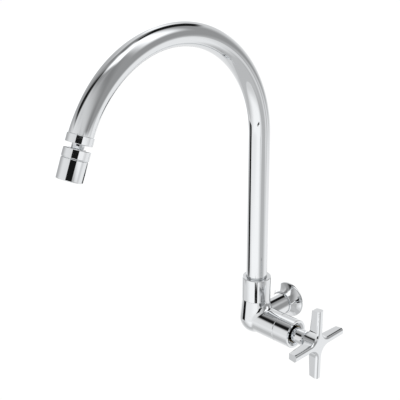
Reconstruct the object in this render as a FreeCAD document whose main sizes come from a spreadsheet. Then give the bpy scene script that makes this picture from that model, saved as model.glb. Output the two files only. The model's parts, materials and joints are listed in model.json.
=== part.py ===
import FreeCAD, Part
import math
import operator
import os
import types

import Sketcher

# A wall tap for a commercial kitchen, in millimetres and degrees. The origin is the centre of the water inlet on
# the wall plane: +Y runs into the wall, +X along the valve barrel to the handle, and +Z up the riser.
# The axes of the riser and of the barrel cross inside the elbow casting, in front of the wall.

SIZES = [
    ("riser_to_wall", 57.0, "riser axis to the wall plane"),
    ("slip_gap", 0.05, "radial clearance of shafts, slip fits and thread blanks"),
    ("loose_gap", 0.3, "radial clearance of covers round moving pieces"),
    ("face_gap", 0.05, "clearance between flat faces that turn on each other"),
    ("seam_chamfer", 0.4, "chamfer along the visible seams"),
    ("overshoot", 1.0, "length by which a cut runs past the face that it opens"),

    ("tube_radius", 11.1, "outside of the spout tube"),
    ("tube_wall", 1.0, "wall of the spout tube"),
    ("arch_start", 207.0, "height at which the riser starts to bend"),
    ("arch_radius", 114.6, "centre-line radius of the arch"),
    ("bend_angle", 157.5, "turn of the arch from the riser to the outlet"),

    ("bulb_margin", 1.9, "how far the elbow's sphere stands out beyond the barrel"),
    ("bulb_taper", 5.3, "taper of the casting's neck, tangent to the sphere"),
    ("spigot_radius", 13.0, "threaded spigot inside the collar"),
    ("spigot_top", 35.0, "top of that spigot"),
    ("socket_floor", 13.0, "floor of the socket that the spout turns in"),
    ("barrel_radius", 15.5, "outside of the valve barrel"),
    ("barrel_end", 36.6, "seam between the casting and the bonnet sleeve"),
    ("elbow_fillet", 7.0, "fillet between barrel and bulb"),
    ("seam_margin", 0.9, "height of the collar's seam above the barrel's fillet"),
    ("shank_radius", 12.0, "shank between bulb and wall"),
    ("shank_fillet", 4.0, "fillet between shank and bulb"),
    ("inlet_radius", 10.48, "outside of the pipe thread, half-inch parallel"),
    ("inlet_shoulder", 8.0, "shoulder of the shank in front of the wall plane, inside the flange"),
    ("inlet_length", 8.0, "thread behind the wall plane"),
    ("inlet_chamfer", 1.0, "lead-in chamfer of the thread"),
    ("inlet_bore", 6.0, "water way of the shank"),
    ("seat_hole", 5.0, "water way into the cartridge"),
    ("seat_plane", 12.0, "face that the cartridge's seal sits on"),
    ("chamber_radius", 10.0, "valve chamber"),
    ("chamber_end", 27.0, "end of the chamber, where its thread starts"),
    ("bonnet_thread", 10.45, "outside of the cartridge's thread"),
    ("port_radius", 3.0, "slanting port from the chamber to the spout socket"),
    ("port_reach", 20.6, "length of that port"),
    ("port_start", 2.0, "upper end of the port, right of the riser axis"),
    ("port_slope", 119.0, "turn of the port from straight up"),

    ("flange_radius", 20.5, "widest part of the wall flange"),
    ("flange_rim", 1.5, "width of the flange's rim at the wall"),
    ("flange_depth", 13.0, "front of the flange's lip, from the wall"),
    ("flange_lip", 13.3, "outside of the lip"),
    ("flange_curve", 27.0, "radius of the bell's outer curve"),
    ("flange_wall", 1.2, "sheet thickness of the flange"),
    ("flange_gap", 0.15, "clearance of the flange round the shank"),
    ("flange_ring_place", 10.3, "centre of the flange's rubber ring, from the wall"),
    ("flange_ring_section", 0.9, "section radius of that ring"),

    ("collar_radius", 15.5, "outside of the spout collar"),
    ("collar_top", 49.4, "top of the collar"),
    ("collar_lip", 1.4, "thickness of the collar's lip"),
    ("collar_edge", 0.6, "rounding of the collar's top edge"),
    ("collar_bore", 12.75, "bore of the collar above its thread"),
    ("glide_thickness", 1.0, "glide washer under the spout foot"),
    ("glide_bore", 10.65, "bore of the glide washer"),
    ("bushing_slit", 8.0, "slit of the split bushing, in degrees"),

    ("foot_radius", 10.5, "spigot of the spout foot"),
    ("foot_bore", 7.2, "water way of the spout foot"),
    ("foot_end", 14.0, "lower end of the foot"),
    ("foot_flange", 12.3, "flange that the collar holds down"),
    ("foot_flange_top", 38.5, "top of that flange, where the tube stands"),
    ("foot_top", 47.0, "top of the foot inside the tube"),
    ("ring_section", 0.9, "section radius of the spout's O-rings"),
    ("ring_play", 0.02, "clearance of an O-ring to its bore and groove"),
    ("groove_play", 0.2, "width of an O-ring groove beyond its ring"),
    ("lower_ring_place", 18.0, "height of the lower O-ring"),
    ("upper_ring_place", 28.0, "height of the upper O-ring"),

    ("adapter_stub", 3.0, "length of the adapter inside the tube"),
    ("adapter_flange", 0.6, "shoulder that the tube's end stands on"),
    ("adapter_thread", 10.4, "thread of the outlet adapter"),
    ("adapter_bore", 8.0, "water way of the adapter"),
    ("adapter_end", 2.4, "end of the adapter, from the tube's end"),
    ("nut_radius", 11.95, "outside of the outlet nut"),
    ("nut_top", 2.0, "skirt of the nut round the tube"),
    ("nut_end", 5.4, "lower face of the nut"),
    ("nut_web", 1.1, "web that holds the stem's flange"),
    ("nut_hole", 6.3, "hole in that web"),
    ("nut_skirt_gap", 0.15, "clearance of the skirt round the tube"),
    ("washer_thickness", 0.5, "rubber washer above the stem's flange"),

    ("stem_flange", 9.3, "flange of the ball stem"),
    ("neck_radius", 5.7, "neck of the ball stem"),
    ("stem_bore", 3.0, "water way of the ball stem"),
    ("ball_radius", 8.2, "ball of the stem"),
    ("ball_place", 15.0, "centre of the ball, from the tube's end"),
    ("ball_gap", 0.1, "clearance round the ball"),
    ("cap_radius", 12.0, "outside of the swivel cap"),
    ("cap_top", 9.5, "upper face of the cap"),
    ("cap_edge", 0.8, "rounding of the cap's upper edge"),
    ("cap_opening", 7.3, "opening of the cap round the neck"),
    ("cap_flare", 8.3, "opening at the cap's upper face"),
    ("cap_end", 17.6, "lower edge of the cap's widest part"),
    ("cap_groove_radius", 11.4, "groove between cap and sleeve"),
    ("cap_groove_end", 18.4, "lower edge of that groove"),
    ("cap_thread", 10.55, "thread of the cap's skirt"),
    ("cap_bore", 8.4, "bore of the cap below the ball"),
    ("cap_skirt_end", 23.0, "end of the skirt"),
    ("seal_radius", 9.3, "outside of the ball seal"),
    ("seal_top", 19.9, "top of the ball seal"),
    ("seal_bore", 4.5, "bore of the ball seal"),

    ("sleeve_radius", 11.85, "outside of the aerator sleeve at its top"),
    ("sleeve_mouth_radius", 11.6, "outside of the aerator sleeve at its mouth"),
    ("sleeve_end", 36.6, "mouth of the aerator"),
    ("sleeve_step", 24.0, "step that carries the insert"),
    ("sleeve_bore", 9.9, "bore below that step"),
    ("sleeve_lip", 1.2, "thickness of the lip at the mouth"),
    ("sleeve_mouth", 8.9, "opening of the lip"),
    ("insert_radius", 9.7, "outside of the aerator insert"),
    ("insert_flange", 10.5, "flange of the insert"),
    ("insert_flange_top", 23.1, "upper face of that flange"),
    ("insert_bore", 8.85, "bore of the insert"),
    ("plate_top", 26.0, "upper face of the insert's perforated plate"),
    ("plate_thickness", 1.6, "thickness of the perforated plate"),
    ("plate_hole", 0.8, "radius of the plate's holes"),
    ("plate_ring", 5.6, "radius of their ring"),
    ("plate_hole_count", 10, "holes in that ring"),
    ("screen_radius", 8.8, "radius of the screen"),
    ("screen_thickness", 0.6, "thickness of the screen"),
    ("screen_pitch", 2.4, "pitch of the screen's mesh"),
    ("screen_opening", 1.7, "opening of the mesh"),

    ("bonnet_end", 56.6, "front face of the bonnet sleeve"),
    ("bonnet_cavity", 13.3, "cavity round the cartridge's hexagon"),
    ("bonnet_web_start", 43.5, "rear of the web that clamps the cartridge"),
    ("bonnet_web_end", 47.5, "front of that web"),
    ("bonnet_recess", 10.8, "recess that the handle's neck runs in"),
    ("bonnet_bevel", 13.0, "outer edge of the bevel at the recess"),
    ("bonnet_bevel_depth", 1.5, "depth of that bevel"),

    ("housing_start", 13.0, "inner end of the cartridge housing"),
    ("housing_radius", 8.9, "lower tube of the housing"),
    ("housing_bore", 7.6, "bore for the ceramic discs"),
    ("housing_bore_end", 31.0, "end of that bore"),
    ("gland_start", 23.6, "start of the gland that holds the O-ring"),
    ("gland_radius", 9.9, "outside of the gland"),
    ("gland_ring_place", 25.3, "centre of the cartridge's O-ring"),
    ("gland_ring_section", 0.8, "section radius of the cartridge's O-ring"),
    ("hexagon_flats", 22.0, "width across the cartridge's flats"),
    ("hexagon_end", 41.5, "front of the hexagon"),
    ("housing_neck", 9.4, "threaded neck in the sleeve's web"),
    ("housing_end", 49.0, "front end of the housing"),
    ("window_start", 18.6, "start of the side windows"),
    ("window_end", 22.6, "end of the side windows"),
    ("window_width", 9.0, "width of each window"),
    ("key_width", 3.0, "keys that hold the fixed disc"),
    ("key_reach", 8.6, "outer end of the keys, from the axis"),
    ("stop_start", 28.0, "start of the stop block"),
    ("stop_angle", 148.0, "angle that the stop block fills"),

    ("seat_seal_outer", 7.4, "outside of the seat seal"),
    ("seat_seal_bore", 5.4, "bore of the seat seal"),
    ("disc_start", 15.0, "rear face of the fixed disc"),
    ("disc_radius", 7.5, "radius of the fixed disc"),
    ("disc_thickness", 3.4, "thickness of the fixed disc"),
    ("lapped_gap", 0.02, "gap between the lapped faces of the discs"),
    ("driven_thickness", 3.2, "thickness of the moving disc"),
    ("port_inner", 1.8, "inner radius of the discs' ports"),
    ("port_outer", 5.4, "outer radius of the fixed disc's ports"),
    ("port_angle", 80.0, "angle of each port"),

    ("spindle_head", 7.3, "head of the spindle and moving disc"),
    ("spindle_head_end", 26.0, "front of the head"),
    ("spindle_radius", 5.0, "shaft of the spindle"),
    ("tang_width", 3.0, "tang that drives the moving disc"),
    ("tang_span", 11.0, "length of the tang across the disc"),
    ("tang_depth", 1.2, "depth of the tang in the disc"),
    ("lug_angle", 120.0, "angle of the lug that meets the stop block"),
    ("quarter_turn", 90.0, "travel of the handle from closed to open"),
    ("inner_ring_place", 35.0, "inner O-ring of the spindle"),
    ("outer_ring_place", 41.0, "outer O-ring of the spindle"),
    ("spindle_ring_section", 0.75, "section radius of the spindle's O-rings"),
    ("clip_thickness", 0.9, "thickness of the spring clip"),
    ("clip_groove", 4.2, "bottom of the clip's groove"),
    ("clip_radius", 6.6, "outside of the clip"),
    ("clip_slit", 50.0, "opening of the clip, in degrees"),
    ("shaft_end", 50.4, "front of the spindle's round shaft"),
    ("spline_radius", 4.0, "drive end of the spindle"),
    ("spline_end", 64.0, "front end of the spindle"),

    ("handle_front", 88.8, "front plane of the handle"),
    ("handle_reach", 39.3, "arm tip to the axis"),
    ("arm_half_width", 4.2, "half of an arm's width at the front"),
    ("arm_half_root", 2.5, "half of an arm's width at the blank's rear"),
    ("arm_corner", 10.5, "fillet between two arms"),
    ("arm_rounding", 2.8, "rounding of the arms' front edges"),
    ("arm_back_rounding", 1.5, "rounding of the arms' rear edges"),
    ("handle_blank_start", 68.2, "rear of the arms' blank, where the neck starts to flare"),
    ("flare_radius", 8.5, "flare from the neck into the arms"),
    ("back_outer", 78.5, "rear of an arm at its tip"),
    ("handle_neck", 8.3, "neck of the handle"),
    ("handle_start", 50.3, "rear end of the neck"),
    ("handle_socket_end", 64.5, "end of the socket on the spindle"),
    ("grub_place", 60.2, "grub screw, along the neck"),
    ("grub_radius", 2.4, "radius of the grub screw"),
    ("grub_head", 7.9, "outer end of the grub screw, from the axis"),
]

# Where an outline is turned: the plane that it is drawn on and the axis that it turns about.
UPRIGHT = ("XZ_Plane", "V_Axis")     # points are (radius, height)
ACROSS = ("XZ_Plane", "H_Axis")      # points are (distance along the barrel, radius)
TO_WALL = ("YZ_Plane", "H_Axis")     # points are (distance toward the wall, radius)

# The side of an outline's direction of travel on which an arc has its centre.
LEFT = 1
RIGHT = -1

SIGNS = {"+": operator.add, "-": operator.sub, "*": operator.mul, "/": operator.truediv}


class Size:
    """A length or angle: its value, and the formula over the sheet's cells that keeps it up to date."""

    def __init__(self, value, formula):
        self.value = value
        self.formula = formula

    def __add__(self, other):
        return combined(self, "+", other)

    def __radd__(self, other):
        return combined(other, "+", self)

    def __sub__(self, other):
        return combined(self, "-", other)

    def __rsub__(self, other):
        return combined(other, "-", self)

    def __mul__(self, other):
        return combined(self, "*", other)

    def __rmul__(self, other):
        return combined(other, "*", self)

    def __truediv__(self, other):
        return combined(self, "/", other)

    def __neg__(self):
        return combined(0, "-", self)


def as_size(number):
    return number if isinstance(number, Size) else Size(number, f"{number}")


def combined(left, sign, right):
    left = as_size(left)
    right = as_size(right)
    return Size(SIGNS[sign](left.value, right.value), f"({left.formula} {sign} {right.formula})")


def cosine(angle):
    return Size(math.cos(math.radians(angle.value)), f"cos({angle.formula})")


def sine(angle):
    return Size(math.sin(math.radians(angle.value)), f"sin({angle.formula})")


def third_side(longest, side):
    """The third side of a right triangle."""
    square = longest * longest - side * side
    return Size(math.sqrt(square.value), f"sqrt({square.formula})")


size = types.SimpleNamespace(**{name: Size(value, f"Sizes.{name}") for name, value, _ in SIZES})
size.bulb_radius = size.barrel_radius + size.bulb_margin
size.seam_height = size.barrel_radius + size.elbow_fillet + size.seam_margin


def make_sheet(document):
    sheet = document.addObject("Spreadsheet::Sheet", "Sizes")
    for row, (name, value, meaning) in enumerate(SIZES, start=1):
        sheet.set(f"A{row}", name)
        sheet.set(f"B{row}", str(value))
        sheet.set(f"C{row}", meaning)
        sheet.setAlias(f"B{row}", name)
    document.recompute()


# Placing

def bind(thing, **sizes):
    """Tie properties to the sheet; a double underscore stands for a dot."""
    for name, value in sizes.items():
        thing.setExpression(name.replace("__", "."), as_size(value).formula)


def at_wall(piece):
    """On the wall plane, at the inlet's centre."""
    piece.Placement = FreeCAD.Placement()


def at_riser(piece):
    """Where the riser's and the barrel's axes cross."""
    piece.Placement.Base.y = -size.riser_to_wall.value
    bind(piece, Placement__Base__y=-size.riser_to_wall)


def at_outlet(piece):
    """At the tube's end, with +Z along the flow."""
    reach = size.riser_to_wall + size.arch_radius * (1 - cosine(size.bend_angle))
    height = size.arch_start + size.arch_radius * sine(size.bend_angle)
    turn = FreeCAD.Rotation(FreeCAD.Vector(1, 0, 0), size.bend_angle.value)
    piece.Placement = FreeCAD.Placement(FreeCAD.Vector(0, -reach.value, height.value), turn)
    bind(piece, Placement__Base__y=-reach, Placement__Base__z=height, Placement__Rotation__Angle=size.bend_angle)


# Sketching

def new_body(document, label, place):
    body = document.addObject("PartDesign::Body", label)
    body.Label = label
    place(body)
    return body


def new_sketch(body, name, plane, offset=None):
    """A sketch on one of the body's own planes, moved along that plane's normal."""
    sketch = body.newObject("Sketcher::SketchObject", name)
    origin_plane = next(feature for feature in body.Origin.OriginFeatures if feature.Role == plane)
    sketch.AttachmentSupport = [(origin_plane, "")]
    sketch.MapMode = "FlatFace"
    if offset is not None:
        sketch.AttachmentOffset.Base.z = offset.value
        bind(sketch, AttachmentOffset__Base__z=offset)
    return sketch


def arc_between(start, end, radius, side):
    """The shorter arc from start to end with its centre on that side, which a sketch keeps anticlockwise."""
    chord = end - start
    middle = (start + end) * 0.5
    sagitta_side = FreeCAD.Vector(-chord.y, chord.x, 0).normalize() * side
    centre = middle + sagitta_side * math.sqrt(max(radius ** 2 - (chord.Length / 2) ** 2, 0.0))
    ends = (start, end) if side == LEFT else (end, start)
    angles = [math.atan2(point.y - centre.y, point.x - centre.x) for point in ends]
    if angles[1] < angles[0]:
        angles[1] += 2 * math.pi
    circle = Part.Circle(centre, FreeCAD.Vector(0, 0, 1), radius)
    return Part.ArcOfCircle(circle, angles[0], angles[1])


def fix_point(sketch, edge, end, across, up):
    """Hold one end of an edge, or a circle's centre, at its distances from the origin."""
    for kind, axis, distance in (("DistanceX", -2, across), ("DistanceY", -1, up)):
        distance = as_size(distance)
        if distance.formula == "0":
            sketch.addConstraint(Sketcher.Constraint("PointOnObject", edge, end, axis))
        else:
            number = sketch.addConstraint(Sketcher.Constraint(kind, -1, 1, edge, end, distance.value))
            sketch.setExpression(f"Constraints[{number}]", distance.formula)


def fix_radius(sketch, edge, radius):
    number = sketch.addConstraint(Sketcher.Constraint("Radius", edge, radius.value))
    sketch.setExpression(f"Constraints[{number}]", radius.formula)


def draw_outline(sketch, corners):
    """Close an outline through corners (across, up), or (across, up, radius, side) where an arc starts."""
    points = [FreeCAD.Vector(as_size(corner[0]).value, as_size(corner[1]).value, 0) for corner in corners]
    first = sketch.GeometryCount
    starts = []
    ends = []
    for number, corner in enumerate(corners):
        start = points[number]
        end = points[(number + 1) % len(points)]
        if len(corner) == 2:
            edge = sketch.addGeometry(Part.LineSegment(start, end))
            starts.append((edge, 1))
            ends.append((edge, 2))
            continue
        radius, side = corner[2:]
        edge = sketch.addGeometry(arc_between(start, end, radius.value, side))
        starts.append((edge, 1 if side == LEFT else 2))
        ends.append((edge, 2 if side == LEFT else 1))
    for number in range(len(corners)):
        sketch.addConstraint(Sketcher.Constraint("Coincident", *ends[number - 1], *starts[number]))
    for (edge, end), corner in zip(starts, corners):
        fix_point(sketch, edge, end, corner[0], corner[1])
    for number, corner in enumerate(corners):
        if len(corner) > 2:
            fix_radius(sketch, first + number, corner[2])


def draw_circle(sketch, across, up, radius):
    centre = FreeCAD.Vector(as_size(across).value, as_size(up).value, 0)
    edge = sketch.addGeometry(Part.Circle(centre, FreeCAD.Vector(0, 0, 1), radius.value))
    fix_point(sketch, edge, 3, across, up)
    fix_radius(sketch, edge, radius)


# Solid features

def turned(body, name, way, corners, cut=False, angle=None):
    """A revolved outline, added to the body or cut from it."""
    plane, axis = way
    sketch = new_sketch(body, f"{name} outline", plane)
    draw_outline(sketch, corners)
    feature = body.newObject("PartDesign::Groove" if cut else "PartDesign::Revolution", name)
    feature.Profile = sketch
    feature.ReferenceAxis = (sketch, [axis])
    feature.Angle = 360
    sketch.Visibility = False
    if angle is not None:
        feature.Midplane = True
        feature.Angle = angle.value
        bind(feature, Angle=angle)
    return feature


def extruded(body, name, sketch, length, cut=False, reverse=False, both_ways=False):
    feature = body.newObject("PartDesign::Pocket" if cut else "PartDesign::Pad", name)
    feature.Profile = sketch
    feature.Length = as_size(length).value
    bind(feature, Length=length)
    feature.Reversed = reverse
    feature.Midplane = both_ways
    sketch.Visibility = False
    return feature


def spaced_round(body, name, feature, count):
    """Repeat a feature evenly about its own sketch's normal through the origin."""
    pattern = body.newObject("PartDesign::PolarPattern", name)
    pattern.Originals = [feature]
    pattern.Axis = (feature.Profile[0], ["N_Axis"])
    pattern.Angle = 360
    pattern.Occurrences = as_size(count).value
    bind(pattern, Occurrences=count)
    body.Tip = pattern
    return pattern


def rounded(body, name, radius, wanted):
    """Round the edges whose every point passes the test."""
    body.Document.recompute()
    base = body.Tip
    chosen = []
    for number, edge in enumerate(base.Shape.Edges, start=1):
        if not edge.Degenerated and all(wanted(point) for point in edge.discretize(7)):
            chosen.append(f"Edge{number}")
    if not chosen:
        raise ValueError(f"{body.Label}: no edge found for {name}")
    feature = body.newObject("PartDesign::Fillet", name)
    feature.Base = (base, chosen)
    feature.Radius = radius.value
    bind(feature, Radius=radius)
    return feature


def new_ring(document, label, place, around, along, radius, section):
    """An O-ring round the riser or outlet axis, or round the barrel's or the shank's axis."""
    ring = document.addObject("Part::Torus", label)
    ring.Label = label
    ring.Radius1 = radius.value
    ring.Radius2 = section.value
    bind(ring, Radius1=radius, Radius2=section)
    place(ring)
    if around == UPRIGHT:
        bind(ring, Placement__Base__z=along)
    if around == ACROSS:
        ring.Placement.Rotation = FreeCAD.Rotation(FreeCAD.Vector(0, 1, 0), 90)
        bind(ring, Placement__Base__x=along)
    if around == TO_WALL:
        ring.Placement.Rotation = FreeCAD.Rotation(FreeCAD.Vector(1, 0, 0), 90)
        bind(ring, Placement__Base__y=along)
    return ring


# The body that stays on the wall

def on_radius(point, radius, along):
    """Whether a point lies at that distance from the axis that runs along x or y."""
    across = point.y if along == "x" else point.x
    return abs(math.hypot(across, point.z) - radius.value) < 1e-3


def make_faucet_body(document):
    """One casting: elbow bulb, valve barrel, spout socket and the shank with its pipe thread."""
    body = new_body(document, "faucet_body", at_riser)
    taper_radius = size.bulb_radius * cosine(size.bulb_taper)
    taper_height = size.bulb_radius * sine(size.bulb_taper)
    seam_radius = (size.bulb_radius - size.seam_height * sine(size.bulb_taper)) / cosine(size.bulb_taper)
    turned(body, "Bulb", UPRIGHT, [
        (0, -size.bulb_radius, size.bulb_radius, LEFT),
        (taper_radius, taper_height),
        (seam_radius, size.seam_height),
        (size.spigot_radius, size.seam_height),
        (size.spigot_radius, size.spigot_top),
        (0, size.spigot_top),
    ])
    turned(body, "Barrel", ACROSS, [
        (0, 0),
        (0, size.barrel_radius),
        (size.barrel_end - size.seam_chamfer, size.barrel_radius),
        (size.barrel_end, size.barrel_radius - size.seam_chamfer),
        (size.barrel_end, 0),
    ])
    rounded(body, "Elbow fillet", size.elbow_fillet, lambda point: (
        on_radius(point, size.barrel_radius, "x") and point.x < size.bulb_radius.value))

    shoulder = size.riser_to_wall - size.inlet_shoulder
    inlet_end = size.riser_to_wall + size.inlet_length
    turned(body, "Shank", TO_WALL, [
        (0, 0),
        (0, size.shank_radius),
        (shoulder, size.shank_radius),
        (shoulder, size.inlet_radius),
        (inlet_end - size.inlet_chamfer, size.inlet_radius),
        (inlet_end, size.inlet_radius - size.inlet_chamfer),
        (inlet_end, 0),
    ])
    joint_limit = size.bulb_radius + size.shank_fillet
    rounded(body, "Shank fillet", size.shank_fillet, lambda point: (
        on_radius(point, size.shank_radius, "y") and point.y < joint_limit.value))

    turned(body, "Spout socket", UPRIGHT, [
        (0, size.socket_floor),
        (size.foot_radius + size.slip_gap, size.socket_floor),
        (size.foot_radius + size.slip_gap, size.spigot_top + size.overshoot),
        (0, size.spigot_top + size.overshoot),
    ], cut=True)
    turned(body, "Valve chamber", ACROSS, [
        (0, 0),
        (0, size.seat_hole),
        (size.seat_plane, size.seat_hole),
        (size.seat_plane, size.chamber_radius),
        (size.chamber_end, size.chamber_radius),
        (size.chamber_end, size.bonnet_thread + size.slip_gap),
        (size.barrel_end + size.overshoot, size.bonnet_thread + size.slip_gap),
        (size.barrel_end + size.overshoot, 0),
    ], cut=True)
    inlet_floor = -size.seat_hole - size.overshoot
    turned(body, "Inlet", TO_WALL, [
        (inlet_floor, 0),
        (inlet_floor, size.inlet_bore),
        (inlet_end + size.overshoot, size.inlet_bore),
        (inlet_end + size.overshoot, 0),
    ], cut=True)

    port = body.newObject("PartDesign::SubtractiveCylinder", "Slanting port")
    port.Placement.Rotation = FreeCAD.Rotation(FreeCAD.Vector(0, 1, 0), size.port_slope.value)
    bind(port, Radius=size.port_radius, Height=size.port_reach, Placement__Base__x=size.port_start,
         Placement__Base__z=size.foot_end + size.port_radius, Placement__Rotation__Angle=size.port_slope)


def make_wall_flange(document):
    """A spun bell, open at its back, that covers the hole in the wall."""
    body = new_body(document, "wall_flange", at_wall)
    inner_curve = size.flange_curve - size.flange_wall
    turned(body, "Bell", TO_WALL, [
        (0, size.flange_radius),
        (-size.flange_rim, size.flange_radius, size.flange_curve, LEFT),
        (-size.flange_depth, size.flange_lip),
        (-size.flange_depth, size.shank_radius + size.flange_gap),
        (-size.flange_depth + size.flange_wall, size.shank_radius + size.flange_gap),
        (-size.flange_depth + size.flange_wall, size.flange_lip, inner_curve, RIGHT),
        (-size.flange_rim, size.flange_radius - size.flange_wall),
        (0, size.flange_radius - size.flange_wall),
    ])


def make_spout_collar(document):
    """The round nut that holds the spout down on the casting."""
    body = new_body(document, "spout_collar", at_riser)
    thread = size.spigot_radius + size.slip_gap
    lip_bore = size.tube_radius + size.loose_gap
    turned(body, "Collar", UPRIGHT, [
        (thread, size.seam_height),
        (size.collar_radius - size.seam_chamfer, size.seam_height),
        (size.collar_radius, size.seam_height + size.seam_chamfer),
        (size.collar_radius, size.collar_top - size.collar_edge, size.collar_edge, LEFT),
        (size.collar_radius - size.collar_edge, size.collar_top),
        (lip_bore, size.collar_top),
        (lip_bore, size.collar_top - size.collar_lip),
        (size.collar_bore, size.collar_top - size.collar_lip),
        (size.collar_bore, size.spigot_top + size.face_gap),
        (thread, size.spigot_top + size.face_gap),
    ])


def make_glide_washer(document):
    body = new_body(document, "glide_washer", at_riser)
    outside = size.collar_bore - size.slip_gap
    turned(body, "Washer", UPRIGHT, [
        (size.glide_bore, size.spigot_top),
        (outside, size.spigot_top),
        (outside, size.spigot_top + size.glide_thickness),
        (size.glide_bore, size.spigot_top + size.glide_thickness),
    ])


def make_spout_bushing(document):
    """A split sleeve that guides the tube inside the collar and keeps the foot's flange down."""
    body = new_body(document, "spout_bushing", at_riser)
    inside = size.tube_radius + size.slip_gap
    outside = size.collar_bore - size.slip_gap
    bottom = size.foot_flange_top + size.face_gap
    turned(body, "Split sleeve", UPRIGHT, [
        (inside, bottom),
        (outside, bottom),
        (outside, size.collar_top - size.collar_lip),
        (inside, size.collar_top - size.collar_lip),
    ], angle=360 - size.bushing_slit)


def make_bonnet_sleeve(document):
    """The front half of the barrel: it clamps round the cartridge and shelters the handle's neck."""
    body = new_body(document, "bonnet_sleeve", at_riser)
    web_bore = size.housing_neck + size.slip_gap
    turned(body, "Sleeve", ACROSS, [
        (size.barrel_end, size.bonnet_cavity),
        (size.barrel_end, size.barrel_radius - size.seam_chamfer),
        (size.barrel_end + size.seam_chamfer, size.barrel_radius),
        (size.bonnet_end - size.seam_chamfer, size.barrel_radius),
        (size.bonnet_end, size.barrel_radius - size.seam_chamfer),
        (size.bonnet_end, size.bonnet_bevel),
        (size.bonnet_end - size.bonnet_bevel_depth, size.bonnet_recess),
        (size.bonnet_web_end, size.bonnet_recess),
        (size.bonnet_web_end, web_bore),
        (size.bonnet_web_start, web_bore),
        (size.bonnet_web_start, size.bonnet_cavity),
    ])


# The cartridge: a quarter-turn valve of two lapped ceramic discs

def draw_sector(sketch, inner, outer, angle, axis_up=True):
    """A ring sector centred on the sketch's vertical axis, or on its horizontal one."""
    half = angle / 2
    across = sine(half)
    along = cosine(half)
    points = [(-across, along), (across, along)] if axis_up else [(along, across), (along, -across)]
    (first_h, first_v), (second_h, second_v) = points
    draw_outline(sketch, [
        (inner * first_h, inner * first_v, inner, RIGHT),
        (inner * second_h, inner * second_v),
        (outer * second_h, outer * second_v, outer, LEFT),
        (outer * first_h, outer * first_v),
    ])


def make_seat_seal(document):
    body = new_body(document, "seat_seal", at_riser)
    turned(body, "Seal", ACROSS, [
        (size.seat_plane, size.seat_seal_bore),
        (size.seat_plane, size.seat_seal_outer),
        (size.disc_start, size.seat_seal_outer),
        (size.disc_start, size.seat_seal_bore),
    ])


def make_fixed_disc(document):
    """The rear disc: two ports through it and two keys into the housing's slots."""
    body = new_body(document, "fixed_disc", at_riser)
    sketch = new_sketch(body, "Disc outline", "YZ_Plane", size.disc_start)
    draw_circle(sketch, 0, 0, size.disc_radius)
    extruded(body, "Disc", sketch, size.disc_thickness)
    sketch = new_sketch(body, "Keys outline", "YZ_Plane", size.disc_start)
    half = size.key_width / 2 - size.slip_gap
    draw_outline(sketch, [
        (half, -size.key_reach),
        (half, size.key_reach),
        (-half, size.key_reach),
        (-half, -size.key_reach),
    ])
    extruded(body, "Keys", sketch, size.disc_thickness)
    sketch = new_sketch(body, "Port outline", "YZ_Plane", size.disc_start)
    draw_sector(sketch, size.port_inner, size.port_outer, size.port_angle, axis_up=False)
    port = extruded(body, "Port", sketch, size.disc_thickness + size.overshoot, cut=True, reverse=True)
    spaced_round(body, "Ports", port, 2)


def make_moving_disc(document):
    """The front disc: two notches that a quarter turn brings over the ports, and a slot for the tang."""
    body = new_body(document, "moving_disc", at_riser)
    start = size.disc_start + size.disc_thickness + size.lapped_gap
    sketch = new_sketch(body, "Disc outline", "YZ_Plane", start)
    draw_circle(sketch, 0, 0, size.spindle_head)
    extruded(body, "Disc", sketch, size.driven_thickness)
    sketch = new_sketch(body, "Notch outline", "YZ_Plane", start)
    draw_sector(sketch, size.port_inner, size.spindle_head + size.overshoot, size.port_angle)
    depth = size.driven_thickness - size.tang_depth - size.slip_gap
    notch = extruded(body, "Notch", sketch, depth, cut=True, reverse=True)
    spaced_round(body, "Notches", notch, 2)
    sketch = new_sketch(body, "Slot outline", "YZ_Plane", start + size.driven_thickness)
    half = size.tang_width / 2 + size.slip_gap
    span = size.tang_span / 2 + size.slip_gap
    draw_outline(sketch, [(half, -span), (half, span), (-half, span), (-half, -span)])
    extruded(body, "Slot", sketch, size.tang_depth + size.slip_gap, cut=True)


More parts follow.
